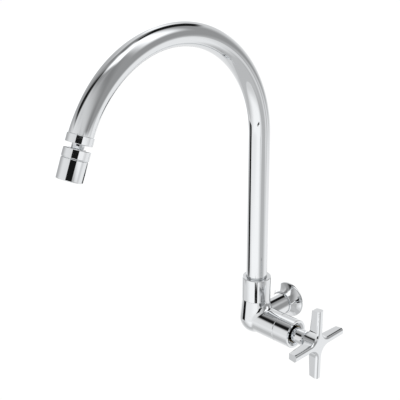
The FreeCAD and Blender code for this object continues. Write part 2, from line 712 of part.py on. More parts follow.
def make_cartridge_housing(document):
    """The cartridge's brass housing: gland, thread, hexagon and neck, with windows beside the discs."""
    body = new_body(document, "cartridge_housing", at_riser)
    spindle_bore = size.spindle_radius + size.slip_gap
    turned(body, "Housing", ACROSS, [
        (size.housing_start, size.housing_bore),
        (size.housing_start, size.housing_radius),
        (size.gland_start, size.housing_radius),
        (size.gland_start, size.gland_radius),
        (size.chamber_end, size.gland_radius),
        (size.chamber_end, size.bonnet_thread),
        (size.barrel_end, size.bonnet_thread),
        (size.barrel_end, size.housing_neck),
        (size.housing_end, size.housing_neck),
        (size.housing_end, spindle_bore),
        (size.housing_bore_end, spindle_bore),
        (size.housing_bore_end, size.housing_bore),
    ])
    groove_half = size.gland_ring_section + size.groove_play / 2
    groove_floor = size.chamber_radius - size.ring_play * 2 - size.gland_ring_section * 2
    turned(body, "Gland groove", ACROSS, [
        (size.gland_ring_place - groove_half, groove_floor),
        (size.gland_ring_place - groove_half, size.chamber_radius),
        (size.gland_ring_place + groove_half, size.chamber_radius),
        (size.gland_ring_place + groove_half, groove_floor),
    ], cut=True)

    sketch = new_sketch(body, "Hexagon outline", "YZ_Plane", size.barrel_end)
    corner = size.hexagon_flats / 2 / cosine(HEXAGON_HALF_ANGLE)
    draw_outline(sketch, [(corner * cosine(angle), corner * sine(angle)) for angle in sixths()])
    draw_circle(sketch, 0, 0, size.housing_bore)
    extruded(body, "Hexagon", sketch, size.hexagon_end - size.barrel_end)

    sketch = new_sketch(body, "Stop outline", "YZ_Plane", size.stop_start)
    draw_sector(sketch, spindle_bore, size.housing_bore + size.slip_gap, size.stop_angle)
    extruded(body, "Stop block", sketch, size.housing_bore_end - size.stop_start)

    sketch = new_sketch(body, "Key slots outline", "YZ_Plane", size.housing_start)
    half = size.key_width / 2
    reach = size.housing_radius + size.overshoot
    draw_outline(sketch, [(half, -reach), (half, reach), (-half, reach), (-half, -reach)])
    slot_depth = size.disc_start + size.disc_thickness + size.slip_gap - size.housing_start
    extruded(body, "Key slots", sketch, slot_depth, cut=True, reverse=True)

    sketch = new_sketch(body, "Windows outline", "XZ_Plane")
    draw_outline(sketch, [
        (size.window_start, -size.window_width / 2),
        (size.window_end, -size.window_width / 2),
        (size.window_end, size.window_width / 2),
        (size.window_start, size.window_width / 2),
    ])
    extruded(body, "Windows", sketch, size.chamber_radius * 2, cut=True, both_ways=True)


HEXAGON_HALF_ANGLE = as_size(30)     # from the middle of a flat to a corner


def sixths():
    """The directions of a hexagon's corners, with flats above and below."""
    return [Size(60 * number, f"{60 * number}") for number in range(6)]


def make_valve_spindle(document):
    """The spindle: disc driver, lug between the stop block's ends, ring grooves, clip groove and drive end."""
    body = new_body(document, "valve_spindle", at_riser)
    head_start = size.disc_start + size.disc_thickness + size.lapped_gap + size.driven_thickness
    clip_start = size.housing_end + size.face_gap
    turned(body, "Spindle", ACROSS, [
        (head_start, 0),
        (head_start, size.spindle_head),
        (size.spindle_head_end, size.spindle_head),
        (size.spindle_head_end, size.spindle_radius),
        (clip_start, size.spindle_radius),
        (clip_start, size.clip_groove),
        (clip_start + size.clip_thickness, size.clip_groove),
        (clip_start + size.clip_thickness, size.spindle_radius),
        (size.shaft_end, size.spindle_radius),
        (size.shaft_end, size.spline_radius),
        (size.spline_end - size.seam_chamfer, size.spline_radius),
        (size.spline_end, size.spline_radius - size.seam_chamfer),
        (size.spline_end, 0),
    ])
    groove_half = size.spindle_ring_section + size.groove_play / 2
    groove_floor = size.spindle_radius - size.spindle_ring_section * 2
    for number, place in enumerate((size.inner_ring_place, size.outer_ring_place), start=1):
        turned(body, f"Ring groove {number}", ACROSS, [
            (place - groove_half, groove_floor),
            (place - groove_half, size.spindle_radius + size.overshoot),
            (place + groove_half, size.spindle_radius + size.overshoot),
            (place + groove_half, groove_floor),
        ], cut=True)

    sketch = new_sketch(body, "Tang outline", "YZ_Plane", head_start)
    half = size.tang_width / 2
    span = size.tang_span / 2
    draw_outline(sketch, [(half, -span), (half, span), (-half, span), (-half, -span)])
    extruded(body, "Tang", sketch, size.tang_depth, reverse=True)

    lug_start = size.stop_start + size.face_gap
    sketch = new_sketch(body, "Lug outline", "YZ_Plane", lug_start)
    middle = -90 - size.quarter_turn / 2
    ends = [middle - size.lug_angle / 2, middle + size.lug_angle / 2]
    inner = size.spindle_radius - size.slip_gap
    outer = size.spindle_head
    draw_outline(sketch, [
        (inner * cosine(ends[1]), inner * sine(ends[1]), inner, RIGHT),
        (inner * cosine(ends[0]), inner * sine(ends[0])),
        (outer * cosine(ends[0]), outer * sine(ends[0]), outer, LEFT),
        (outer * cosine(ends[1]), outer * sine(ends[1])),
    ])
    extruded(body, "Lug", sketch, size.housing_bore_end - size.face_gap - lug_start)


def make_spindle_clip(document):
    """An open spring ring that keeps the spindle from being pushed in."""
    body = new_body(document, "spindle_clip", at_riser)
    start = size.housing_end + size.face_gap
    inside = size.clip_groove + size.slip_gap
    turned(body, "Clip", ACROSS, [
        (start, inside),
        (start, size.clip_radius),
        (start + size.clip_thickness - size.face_gap, size.clip_radius),
        (start + size.clip_thickness - size.face_gap, inside),
    ], angle=360 - size.clip_slit)


# The spout

def make_spout_foot(document):
    """The spout's turned foot: a spigot with two O-ring grooves, the flange, and a stub brazed in the tube."""
    body = new_body(document, "spout_foot", at_riser)
    flange_bottom = size.spigot_top + size.glide_thickness + size.face_gap
    stub = size.tube_radius - size.tube_wall - size.slip_gap
    turned(body, "Foot", UPRIGHT, [
        (size.foot_bore, size.foot_end),
        (size.foot_radius - size.seam_chamfer, size.foot_end),
        (size.foot_radius, size.foot_end + size.seam_chamfer),
        (size.foot_radius, flange_bottom),
        (size.foot_flange, flange_bottom),
        (size.foot_flange, size.foot_flange_top),
        (stub, size.foot_flange_top),
        (stub, size.foot_top),
        (size.foot_bore, size.foot_top),
    ])
    groove_half = size.ring_section + size.groove_play / 2
    groove_floor = size.foot_radius - size.ring_section * 2
    for number, place in enumerate((size.lower_ring_place, size.upper_ring_place), start=1):
        turned(body, f"Ring groove {number}", UPRIGHT, [
            (groove_floor, place - groove_half),
            (size.foot_radius + size.overshoot, place - groove_half),
            (size.foot_radius + size.overshoot, place + groove_half),
            (groove_floor, place + groove_half),
        ], cut=True)


def make_spout_tube(document):
    """The bent tube: a straight riser and one round arch away from the wall."""
    body = new_body(document, "spout_tube", at_riser)
    section = new_sketch(body, "Tube section", "XY_Plane", size.foot_flange_top)
    draw_circle(section, 0, 0, size.tube_radius)
    draw_circle(section, 0, 0, size.tube_radius - size.tube_wall)

    path = new_sketch(body, "Tube path", "YZ_Plane")
    bottom = FreeCAD.Vector(0, size.foot_flange_top.value, 0)
    top = FreeCAD.Vector(0, size.arch_start.value, 0)
    riser = path.addGeometry(Part.LineSegment(bottom, top))
    fix_point(path, riser, 1, 0, size.foot_flange_top)
    fix_point(path, riser, 2, 0, size.arch_start)
    centre = FreeCAD.Vector(-size.arch_radius.value, size.arch_start.value, 0)
    circle = Part.Circle(centre, FreeCAD.Vector(0, 0, 1), size.arch_radius.value)
    arch = path.addGeometry(Part.ArcOfCircle(circle, 0, math.radians(size.bend_angle.value)))
    path.addConstraint(Sketcher.Constraint("Coincident", riser, 2, arch, 1))
    fix_point(path, arch, 3, -size.arch_radius, size.arch_start)
    end_across = -size.arch_radius * (1 - cosine(size.bend_angle))
    number = path.addConstraint(Sketcher.Constraint("DistanceX", -1, 1, arch, 2, end_across.value))
    path.setExpression(f"Constraints[{number}]", end_across.formula)

    tube = body.newObject("PartDesign::AdditivePipe", "Tube")
    tube.Profile = section
    tube.Spine = (path, ["Edge1", "Edge2"])
    section.Visibility = False
    path.Visibility = False


def make_outlet_adapter(document):
    """Brazed in the tube's end: a short stub, a shoulder and the thread for the nut."""
    body = new_body(document, "outlet_adapter", at_outlet)
    stub = size.tube_radius - size.tube_wall - size.slip_gap
    turned(body, "Adapter", UPRIGHT, [
        (size.adapter_bore, -size.adapter_stub),
        (stub, -size.adapter_stub),
        (stub, 0),
        (size.tube_radius, 0),
        (size.tube_radius, size.adapter_flange),
        (size.adapter_thread, size.adapter_flange),
        (size.adapter_thread, size.adapter_end),
        (size.adapter_bore, size.adapter_end),
    ])


def make_outlet_nut(document):
    body = new_body(document, "outlet_nut", at_outlet)
    skirt = size.tube_radius + size.nut_skirt_gap
    thread = size.adapter_thread + size.slip_gap
    skirt_end = size.adapter_flange + size.face_gap
    turned(body, "Nut", UPRIGHT, [
        (skirt, -size.nut_top),
        (size.nut_radius, -size.nut_top),
        (size.nut_radius, size.nut_end - size.seam_chamfer),
        (size.nut_radius - size.seam_chamfer, size.nut_end),
        (size.nut_hole, size.nut_end),
        (size.nut_hole, size.nut_end - size.nut_web),
        (thread, size.nut_end - size.nut_web),
        (thread, skirt_end),
        (skirt, skirt_end),
    ])


def make_outlet_washer(document):
    body = new_body(document, "outlet_washer", at_outlet)
    outside = size.adapter_thread - size.loose_gap
    turned(body, "Washer", UPRIGHT, [
        (size.nut_hole, size.adapter_end),
        (outside, size.adapter_end),
        (outside, size.adapter_end + size.washer_thickness),
        (size.nut_hole, size.adapter_end + size.washer_thickness),
    ])


# The swivel aerator

def make_ball_stem(document):
    """Flange, neck and drilled ball in one piece."""
    body = new_body(document, "ball_stem", at_outlet)
    flange_top = size.adapter_end + size.washer_thickness + size.face_gap
    flange_end = size.nut_end - size.nut_web - size.face_gap
    neck_end = size.ball_place - third_side(size.ball_radius, size.neck_radius)
    ball_end = size.ball_place + third_side(size.ball_radius, size.stem_bore)
    turned(body, "Stem", UPRIGHT, [
        (size.stem_bore, flange_top),
        (size.stem_flange, flange_top),
        (size.stem_flange, flange_end),
        (size.neck_radius, flange_end),
        (size.neck_radius, neck_end, size.ball_radius, LEFT),
        (size.stem_bore, ball_end),
    ])


def make_swivel_cap(document):
    """The cap that holds the ball from above; the aerator's sleeve is screwed on its skirt."""
    body = new_body(document, "swivel_cap", at_outlet)
    seat = size.ball_radius + size.ball_gap
    opening_height = size.ball_place - third_side(seat, size.cap_opening)
    skirt_bore = size.seal_radius + size.slip_gap
    turned(body, "Cap", UPRIGHT, [
        (size.cap_opening, opening_height),
        (size.cap_flare, size.cap_top),
        (size.cap_radius - size.cap_edge, size.cap_top, size.cap_edge, LEFT),
        (size.cap_radius, size.cap_top + size.cap_edge),
        (size.cap_radius, size.cap_end),
        (size.cap_groove_radius, size.cap_end),
        (size.cap_groove_radius, size.cap_groove_end),
        (size.cap_thread, size.cap_groove_end),
        (size.cap_thread, size.cap_skirt_end),
        (skirt_bore, size.cap_skirt_end),
        (skirt_bore, size.seal_top - size.face_gap),
        (size.cap_bore, size.seal_top - size.face_gap),
        (size.cap_bore, size.ball_place),
        (seat, size.ball_place, seat, RIGHT),
    ])


def make_ball_seal(document):
    """The soft ring under the ball."""
    body = new_body(document, "ball_seal", at_outlet)
    seat = size.ball_radius + size.ball_gap
    drop = size.seal_top - size.ball_place
    lower_edge = size.ball_place + third_side(seat, size.seal_bore)
    turned(body, "Seal", UPRIGHT, [
        (size.seal_radius, size.seal_top),
        (third_side(seat, drop), size.seal_top, seat, LEFT),
        (size.seal_bore, lower_edge),
        (size.seal_bore, size.cap_skirt_end),
        (size.seal_radius, size.cap_skirt_end),
    ])


def make_aerator_sleeve(document):
    body = new_body(document, "aerator_sleeve", at_outlet)
    thread = size.cap_thread + size.slip_gap
    turned(body, "Sleeve", UPRIGHT, [
        (thread, size.cap_groove_end),
        (size.sleeve_radius, size.cap_groove_end),
        (size.sleeve_mouth_radius, size.sleeve_end - size.seam_chamfer),
        (size.sleeve_mouth_radius - size.seam_chamfer, size.sleeve_end),
        (size.sleeve_mouth, size.sleeve_end),
        (size.sleeve_mouth, size.sleeve_end - size.sleeve_lip),
        (size.sleeve_bore, size.sleeve_end - size.sleeve_lip),
        (size.sleeve_bore, size.sleeve_step),
        (thread, size.sleeve_step),
    ])


def make_aerator_insert(document):
    """The plastic insert: its flange, its tube and a plate with a ring of holes."""
    body = new_body(document, "aerator_insert", at_outlet)
    bottom = size.sleeve_end - size.sleeve_lip
    plate_end = size.plate_top + size.plate_thickness
    turned(body, "Insert", UPRIGHT, [
        (0, size.plate_top),
        (size.insert_bore, size.plate_top),
        (size.insert_bore, size.insert_flange_top),
        (size.insert_flange, size.insert_flange_top),
        (size.insert_flange, size.sleeve_step),
        (size.insert_radius, size.sleeve_step),
        (size.insert_radius, bottom),
        (size.insert_bore, bottom),
        (size.insert_bore, plate_end),
        (0, plate_end),
    ])
    sketch = new_sketch(body, "Hole outline", "XY_Plane", size.plate_top)
    draw_circle(sketch, size.plate_ring, 0, size.plate_hole)
    hole = extruded(body, "Hole", sketch, size.plate_thickness, cut=True, reverse=True)
    spaced_round(body, "Holes", hole, size.plate_hole_count)


def make_aerator_screen(document):
    """A screen of square openings in the insert's mouth."""
    body = new_body(document, "aerator_screen", at_outlet)
    bottom = size.sleeve_end - size.sleeve_lip
    sketch = new_sketch(body, "Screen outline", "XY_Plane", bottom - size.screen_thickness)
    draw_circle(sketch, 0, 0, size.screen_radius)
    extruded(body, "Screen", sketch, size.screen_thickness)
    sketch = new_sketch(body, "Mesh outline", "XY_Plane", bottom - size.screen_thickness)
    half = size.screen_opening / 2
    steps = int((size.screen_radius.value - size.screen_opening.value) / size.screen_pitch.value)
    for column in range(-steps, steps + 1):
        for row in range(-steps, steps + 1):
            if math.hypot(column, row) > steps:
                continue
            across = size.screen_pitch * column
            up = size.screen_pitch * row
            draw_outline(sketch, [
                (across - half, up - half),
                (across + half, up - half),
                (across + half, up + half),
                (across - half, up + half),
            ])
    extruded(body, "Mesh", sketch, size.screen_thickness, cut=True, reverse=True)


# The handle

def quarter_turned(corner):
    return (-corner[1], corner[0], *corner[2:])


def draw_cross(sketch, half_width, reach, corner_radius):
    """A four-armed outline: each arm is straight, with a round corner to the next."""
    inner = half_width + corner_radius
    quadrant = [
        (reach, -half_width),
        (reach, half_width),
        (inner, half_width, corner_radius, RIGHT),
        (half_width, inner),
    ]
    corners = []
    for _ in range(4):
        corners += quadrant
        quadrant = [quarter_turned(corner) for corner in quadrant]
    draw_outline(sketch, corners)


def arm_distance(point):
    """How far out along its arm a point lies."""
    return max(abs(point.y), abs(point.z))


def arm_offset(point):
    """How far a point lies from its arm's middle plane."""
    return min(abs(point.y), abs(point.z))


def make_handle_cross(document):
    """One casting: four drafted arms that flare into the neck, and the socket on the spindle."""
    body = new_body(document, "handle_cross", at_riser)
    rear = new_sketch(body, "Rear outline", "YZ_Plane", size.handle_blank_start)
    draft = size.arm_half_width - size.arm_half_root
    draw_cross(rear, size.arm_half_root, size.handle_reach - draft, size.arm_corner + draft)
    front = new_sketch(body, "Front outline", "YZ_Plane", size.handle_front)
    draw_cross(front, size.arm_half_width, size.handle_reach, size.arm_corner)
    arms = body.newObject("PartDesign::AdditiveLoft", "Arms")
    arms.Profile = rear
    arms.Sections = [front]
    arms.Ruled = True
    rear.Visibility = False
    front.Visibility = False

    flare_end = size.handle_neck + size.flare_radius
    clear = size.handle_reach + size.overshoot
    turned(body, "Rear of the arms", ACROSS, [
        (size.handle_blank_start - size.overshoot, size.handle_neck),
        (size.handle_blank_start, size.handle_neck, size.flare_radius, LEFT),
        (size.handle_blank_start + size.flare_radius, flare_end),
        (size.back_outer, clear),
        (size.handle_blank_start - size.overshoot, clear),
    ], cut=True)
    tip = size.handle_reach.value - 1e-3
    front = size.handle_front.value
    rounded(body, "Front edges", size.arm_rounding, lambda point: (
        abs(point.x - front) < 1e-3 and arm_distance(point) < tip))
    rear_tip = size.handle_reach.value - draft.value
    rounded(body, "Rear edges", size.arm_back_rounding, lambda point: (
        point.x < size.back_outer.value
        and (arm_offset(point) > size.arm_half_root.value or arm_distance(point) > rear_tip)))
    turned(body, "Neck", ACROSS, [
        (size.handle_start, 0),
        (size.handle_start, size.handle_neck),
        (size.handle_blank_start + size.overshoot, size.handle_neck),
        (size.handle_blank_start + size.overshoot, 0),
    ])
    turned(body, "Socket", ACROSS, [
        (size.handle_start - size.overshoot, 0),
        (size.handle_start - size.overshoot, size.spline_radius + size.slip_gap),
        (size.handle_socket_end, size.spline_radius + size.slip_gap),
        (size.handle_socket_end, 0),
    ], cut=True)
    sketch = new_sketch(body, "Grub hole outline", "XY_Plane")
    draw_circle(sketch, size.grub_place, 0, size.grub_radius + size.slip_gap)
    extruded(body, "Grub hole", sketch, size.handle_neck + size.overshoot, cut=True)


def make_handle_grub_screw(document):
    """The set screw under the neck that holds the handle on the spindle."""
    screw = document.addObject("Part::Cylinder", "handle_grub_screw")
    screw.Label = "handle_grub_screw"
    at_riser(screw)
    tip = size.spline_radius + size.slip_gap
    bind(screw, Radius=size.grub_radius, Height=size.grub_head - tip, Placement__Base__x=size.grub_place,
         Placement__Base__z=-size.grub_head)


def main():
    document = FreeCAD.newDocument("WallFaucet")
    make_sheet(document)
    make_faucet_body(document)
    make_wall_flange(document)
    new_ring(document, "flange_o_ring", at_wall, TO_WALL, -size.flange_ring_place,
             size.shank_radius + size.slip_gap + size.flange_ring_section, size.flange_ring_section)
    make_spout_collar(document)
    make_glide_washer(document)
    make_spout_bushing(document)
    make_bonnet_sleeve(document)
    make_cartridge_housing(document)
    new_ring(document, "cartridge_o_ring", at_riser, ACROSS, size.gland_ring_place,
             size.chamber_radius - size.ring_play - size.gland_ring_section, size.gland_ring_section)
    make_seat_seal(document)
    make_fixed_disc(document)

    make_spout_foot(document)
    ring_radius = size.foot_radius + size.slip_gap - size.ring_play - size.ring_section
    new_ring(document, "spout_o_ring_lower", at_riser, UPRIGHT, size.lower_ring_place, ring_radius,
             size.ring_section)
    new_ring(document, "spout_o_ring_upper", at_riser, UPRIGHT, size.upper_ring_place, ring_radius,
             size.ring_section)
    make_spout_tube(document)
    make_outlet_adapter(document)
    make_outlet_washer(document)
    make_outlet_nut(document)

    make_valve_spindle(document)
    make_moving_disc(document)
    ring_radius = size.spindle_radius + size.slip_gap - size.ring_play - size.spindle_ring_section
    new_ring(document, "spindle_o_ring_inner", at_riser, ACROSS, size.inner_ring_place, ring_radius,
             size.spindle_ring_section)
    new_ring(document, "spindle_o_ring_outer", at_riser, ACROSS, size.outer_ring_place, ring_radius,
             size.spindle_ring_section)
    make_spindle_clip(document)
    make_handle_cross(document)
    make_handle_grub_screw(document)

    make_ball_stem(document)
    make_swivel_cap(document)
    make_ball_seal(document)
    make_aerator_sleeve(document)
    make_aerator_insert(document)
    make_aerator_screen(document)

    document.recompute()
    check(document)
    export(document)


def sub_parts(document):
    kinds = ("PartDesign::Body", "Part::Torus", "Part::Cylinder")
    return [thing for thing in document.Objects if thing.TypeId in kinds]


def check(document):
    """Stop if a feature failed, a piece is no valid solid, or a cut took nothing away."""
    for thing in document.Objects:
        if "Invalid" in thing.State or "Error" in thing.State:
            raise ValueError(f"{thing.Label} did not build: {thing.State}")
        cuts = ("PartDesign::Pocket", "PartDesign::Groove", "PartDesign::SubtractiveCylinder")
        if thing.TypeId in cuts and thing.Shape.Volume > thing.BaseFeature.Shape.Volume - 1e-3:
            raise ValueError(f"{thing.Label} cut nothing")
    for piece in sub_parts(document):
        if piece.Shape.isNull() or not piece.Shape.isValid() or len(piece.Shape.Solids) != 1:
            raise ValueError(f"{piece.Label} is not one valid solid")


def export(document):
    os.makedirs("parts", exist_ok=True)
    for piece in sub_parts(document):
        piece.Shape.exportStep(f"parts/{piece.Label}.step")


main()
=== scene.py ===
import json
import math

import bmesh
import bpy
from bpy.props import FloatProperty, FloatVectorProperty, IntProperty, PointerProperty
from mathutils import Matrix, Vector


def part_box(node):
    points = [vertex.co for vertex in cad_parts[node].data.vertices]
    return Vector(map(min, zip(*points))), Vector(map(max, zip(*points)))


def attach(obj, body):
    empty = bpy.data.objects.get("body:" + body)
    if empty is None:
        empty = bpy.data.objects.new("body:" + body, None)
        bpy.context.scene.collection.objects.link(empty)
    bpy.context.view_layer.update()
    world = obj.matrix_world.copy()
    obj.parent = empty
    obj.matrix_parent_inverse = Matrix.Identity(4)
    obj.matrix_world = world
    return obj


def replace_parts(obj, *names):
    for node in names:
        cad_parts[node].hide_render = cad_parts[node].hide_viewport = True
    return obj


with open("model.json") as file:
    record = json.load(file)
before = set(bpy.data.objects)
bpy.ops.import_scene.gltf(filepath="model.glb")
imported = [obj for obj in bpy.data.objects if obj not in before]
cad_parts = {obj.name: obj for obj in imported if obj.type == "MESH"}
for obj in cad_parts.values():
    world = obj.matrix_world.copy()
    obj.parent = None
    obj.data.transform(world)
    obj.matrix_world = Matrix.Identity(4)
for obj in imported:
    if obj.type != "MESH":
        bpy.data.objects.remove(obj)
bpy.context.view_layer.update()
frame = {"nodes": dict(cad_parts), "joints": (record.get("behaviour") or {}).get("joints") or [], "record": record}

bl_info = {
    "name": "Wall kitchen faucet",
    "version": (1, 0, 0),
    "blender": (4, 5, 0),
    "location": "3D View > Sidebar > Faucet",
    "description": "Dresses a wall-mounted kitchen faucet and sets up its studio",
    "category": "Object",
}

MM = 0.001
JOINTS = {joint["name"]: joint for joint in frame["joints"]}
SLOT_OF = {part["node"]: part["material_slot"] for part in frame["record"]["subparts"]}


# Axes that round pieces are turned about

NEARLY_SIDEWAYS = 0.9     # an axis with a larger share along X is set out from Z instead


def turning_frame(origin, direction):
    """A matrix whose third axis runs along a piece's own axis, from that point."""
    along = Vector(direction).normalized()
    side = Vector((1, 0, 0)) if abs(along.x) < NEARLY_SIDEWAYS else Vector((0, 0, 1))
    across = along.cross(side).normalized()
    side = across.cross(along)
    matrix = Matrix((side, across, along)).transposed().to_4x4()
    matrix.translation = Vector(origin)
    return matrix


RISER = turning_frame(JOINTS["spout_swivel"]["pos_m"], (0, 0, 1))
RISER_UPRIGHT = Matrix.Translation(RISER.translation)
BARREL = turning_frame(JOINTS["handle_turn"]["pos_m"], JOINTS["handle_turn"]["axis"])
SHANK = turning_frame((0, 0, 0), (0, 1, 0))
OUTLET = turning_frame(JOINTS["aerator_swivel"]["pos_m"], JOINTS["aerator_swivel"]["axis"])
BALL_PLACE = (OUTLET.inverted() @ Vector(JOINTS["aerator_tilt"]["pos_m"])).z


def measure(node, about):
    """Where a CAD node starts and ends along an axis, and how far it reaches from it."""
    inverse = about.inverted()
    points = [inverse @ vertex.co for vertex in frame["nodes"][node].data.vertices]
    along = [point.z for point in points]
    return min(along), max(along), max(math.hypot(point.x, point.y) for point in points)


# Sizes and colours that a user would change

def linear(hex_colour):
    """Linear RGB of an sRGB hex colour."""
    channels = [int(hex_colour[start:start + 2], 16) / 255 for start in (1, 3, 5)]
    return tuple(c / 12.92 if c <= 0.04045 else ((c + 0.055) / 1.055) ** 2.4 for c in channels)


def length_property(name, description, millimetres):
    """A size that is given in millimetres and kept in metres."""
    return FloatProperty(name=name, description=description, default=millimetres * MM, min=0.0, unit="LENGTH",
                         precision=5)


def angle_property(name, description, degrees):
    """An angle that is given in degrees."""
    return FloatProperty(name=name, description=description, default=math.radians(degrees), unit="ROTATION")


def colour_property(name, description, hex_colour):
    """A colour that is given as an sRGB hex colour."""
    return FloatVectorProperty(name=name, description=description, default=linear(hex_colour), size=3,
                               min=0.0, max=1.0, subtype="COLOR")


class FaucetSizes(bpy.types.PropertyGroup):
    edge_ease: length_property("Edge rounding", "Radius of the polished edges of turned covers", 0.2)
    sides: IntProperty(name="Sides", description="Flat strips round a turned piece", default=128, min=24)
    tube_wall: length_property("Tube wall", "Wall of the spout tube", 1.0)
    tube_step: length_property("Tube step", "Spacing of the rings along the spout tube", 2.0)
    thread_pitch: length_property("Thread pitch", "Half-inch pipe thread, 14 turns to the inch", 1.814)
    thread_depth: length_property("Thread crest", "How far the crests stand out of the threaded blank", 0.25)
    mesh_pitch: length_property("Screen pitch", "Spacing of the wires of the aerator's screen", 1.2)
    mesh_wire: length_property("Screen wire", "Radius of the screen's wires", 0.15)
    screw_socket: length_property("Screw socket", "Width across the flats of the grub screw's socket", 2.5)


class FaucetFinishes(bpy.types.PropertyGroup):
    chrome: colour_property("Chrome", "Polished chrome plating", "#E8EAEC")
    # Darker than plain brass: painted shade for the recesses where the brass shows.
    brass: colour_property("Brass", "Turned brass inside the valve", "#8F7E5C")
    rubber: colour_property("Rubber", "O-rings, seals and washers", "#1C1C1D")
    ceramic: colour_property("Ceramic", "Lapped ceramic discs", "#EDEBE4")
    white_plastic: colour_property("White plastic", "Glide washer and bushing", "#E6E5E0")
    grey_plastic: colour_property("Grey plastic", "Aerator insert", "#A4A8AE")
    steel: colour_property("Steel", "Spring clip, grub screw and screen", "#C3C5C8")


class StudioSettings(bpy.types.PropertyGroup):
    azimuth: angle_property("Azimuth", "Camera's turn about the faucet, from straight in front", 45.64)
    pitch: angle_property("Pitch", "How steeply the camera looks down", 20.55)
    roll: angle_property("Roll", "Camera's roll", -0.52)
    distance: length_property("Distance", "From the camera to the plane of the riser", 828.95)
    aim_height: length_property("Aim height", "Height of the point that the view is set out from", 150.0)
    slide: FloatProperty(name="Slide", description="Camera's move to its right", default=-60.53 * MM,
                         unit="LENGTH")
    lift: FloatProperty(name="Lift", description="Camera's move upward in its view", default=-11.66 * MM,
                        unit="LENGTH")
    lens: FloatProperty(name="Lens", description="Focal length in millimetres on a 36 mm sensor", default=71.78)
    floor_drop: length_property("Floor", "How far the floor lies below the faucet's inlet", 320.0)
    lamp_power: FloatProperty(name="Lamp", description="Power of the overhead softbox in watts", default=5.0)


# Nodes

MATH = "ShaderNodeMath"

# Settings of a math node, by what it works out
(ABSOLUTE, ADD, ARCSINE, ARCTAN2, COSINE, DIVIDE, FLOOR, MAXIMUM, MINIMUM, MULTIPLY, POWER, SINE, SQRT,
 SUBTRACT) = ({"operation": name} for name in (
     "ABSOLUTE", "ADD", "ARCSINE", "ARCTAN2", "COSINE", "DIVIDE", "FLOOR", "MAXIMUM", "MINIMUM", "MULTIPLY",
     "POWER", "SINE", "SQRT", "SUBTRACT"))


def add_node(tree, kind, settings=None, inputs=None):
    """A node with its settings, and with values or links on its inputs; a node there links its first output."""
    made = tree.nodes.new(kind)
    for name, value in (settings or {}).items():
        setattr(made, name, value)
    for name, value in (inputs or {}).items():
        if isinstance(value, bpy.types.Node):
            value = value.outputs[0]
        if isinstance(value, bpy.types.NodeSocket):
            tree.links.new(value, made.inputs[name])
        else:
            made.inputs[name].default_value = value
    return made


# Materials

MID_LOW, MID_HIGH = 0.3, 0.7      # between these lie most of the values of a noise
METAL = {"Metallic": 1.0}


def new_material(name):
    """An empty material and its tree, with the object's own coordinates in metres."""
    material = bpy.data.materials.new(name)
    material.use_nodes = True
    material.node_tree.nodes.clear()
    place = add_node(material.node_tree, "ShaderNodeTexCoord").outputs["Object"]
    return material, material.node_tree, place


def pattern(tree, place, width_mm, detail=2.0, stretch=(1.0, 1.0, 1.0)):
    """Patches that many millimetres wide, or lines along the axis whose stretch is below 1."""
    scaled = add_node(tree, "ShaderNodeMapping", inputs={"Vector": place, "Scale": stretch})
    return add_node(tree, "ShaderNodeTexNoise", inputs={
        "Vector": scaled, "Scale": 1 / (width_mm * MM), "Detail": detail,
    })


def surface(tree, colour, patches, darkening, marks, roughness, relief=None, settings=None):
    """The shader: a colour that patches darken and a roughness that marks move between two values.

    The relief is a pattern with its depth in millimetres and its strength.
    """
    darker = [channel * (1 - darkening) for channel in colour]
    shade = add_node(tree, "ShaderNodeMix", {"data_type": "RGBA"}, {
        0: patches, 6: (*colour, 1.0), 7: (*darker, 1.0),
    })
    polish = add_node(tree, "ShaderNodeMapRange", inputs={
        "Value": marks, "From Min": MID_LOW, "From Max": MID_HIGH, "To Min": roughness[0], "To Max": roughness[1],
    })
    inputs = {"Base Color": shade.outputs[2], "Roughness": polish, **(settings or {})}
    if relief:
        height, depth_mm, strength = relief
        inputs["Normal"] = add_node(tree, "ShaderNodeBump", inputs={
            "Strength": strength, "Distance": depth_mm * MM, "Height": height,
        })
    shader = add_node(tree, "ShaderNodeBsdfPrincipled", inputs=inputs)
    add_node(tree, "ShaderNodeOutputMaterial", inputs={"Surface": shader})


def polished_chrome(colour):
    """Buffed and chrome plated brass: a mirror whose buffing shows only as a faint unevenness.

    Real buffing marks are a few hundredths of a millimetre wide. They are drawn 1.6 mm wide, so that they show.
    """
    material, tree, place = new_material("polished chrome plating")
    plating = pattern(tree, place, width_mm=14)
    buffing = pattern(tree, place, width_mm=1.6, detail=4, stretch=(1.0, 1.0, 0.25))
    surface(tree, colour, patches=plating, darkening=0.03, marks=buffing, roughness=(0.025, 0.05),
            relief=(buffing, 0.004, 0.03), settings=METAL)
    return material


def drawn_chrome(colour):
    """Chrome on drawn tube: brighter still, with long faint draw lines that soften the reflections along it.

    Real draw lines are under a tenth of a millimetre wide. They are drawn 0.8 mm wide, so that they show.
    """
    material, tree, place = new_material("chrome plating on drawn tube")
    plating = pattern(tree, place, width_mm=18)
    draw_lines = pattern(tree, place, width_mm=0.8, detail=3, stretch=(1.0, 1.0, 0.05))
    surface(tree, colour, patches=plating, darkening=0.02, marks=draw_lines, roughness=(0.02, 0.045),
            relief=(plating, 0.01, 0.02), settings=METAL)
    return material


def turned_brass(colour):
    """Unplated brass from the lathe: a satin whose colour is darkened to a dull brown as painted shade for the
    recesses where it shows, and a little darker where it has tarnished.

    Real tool marks are 0.1 to 0.2 mm apart. They are drawn 0.5 mm wide, so that they show.
    """
    material, tree, place = new_material("turned brass")
    tarnish = pattern(tree, place, width_mm=5, detail=3)
    tool_marks = pattern(tree, place, width_mm=0.5, stretch=(0.2, 1.0, 1.0))
    surface(tree, colour, patches=tarnish, darkening=0.25, marks=tool_marks, roughness=(0.22, 0.38),
            relief=(tool_marks, 0.02, 0.3), settings=METAL)
    return material


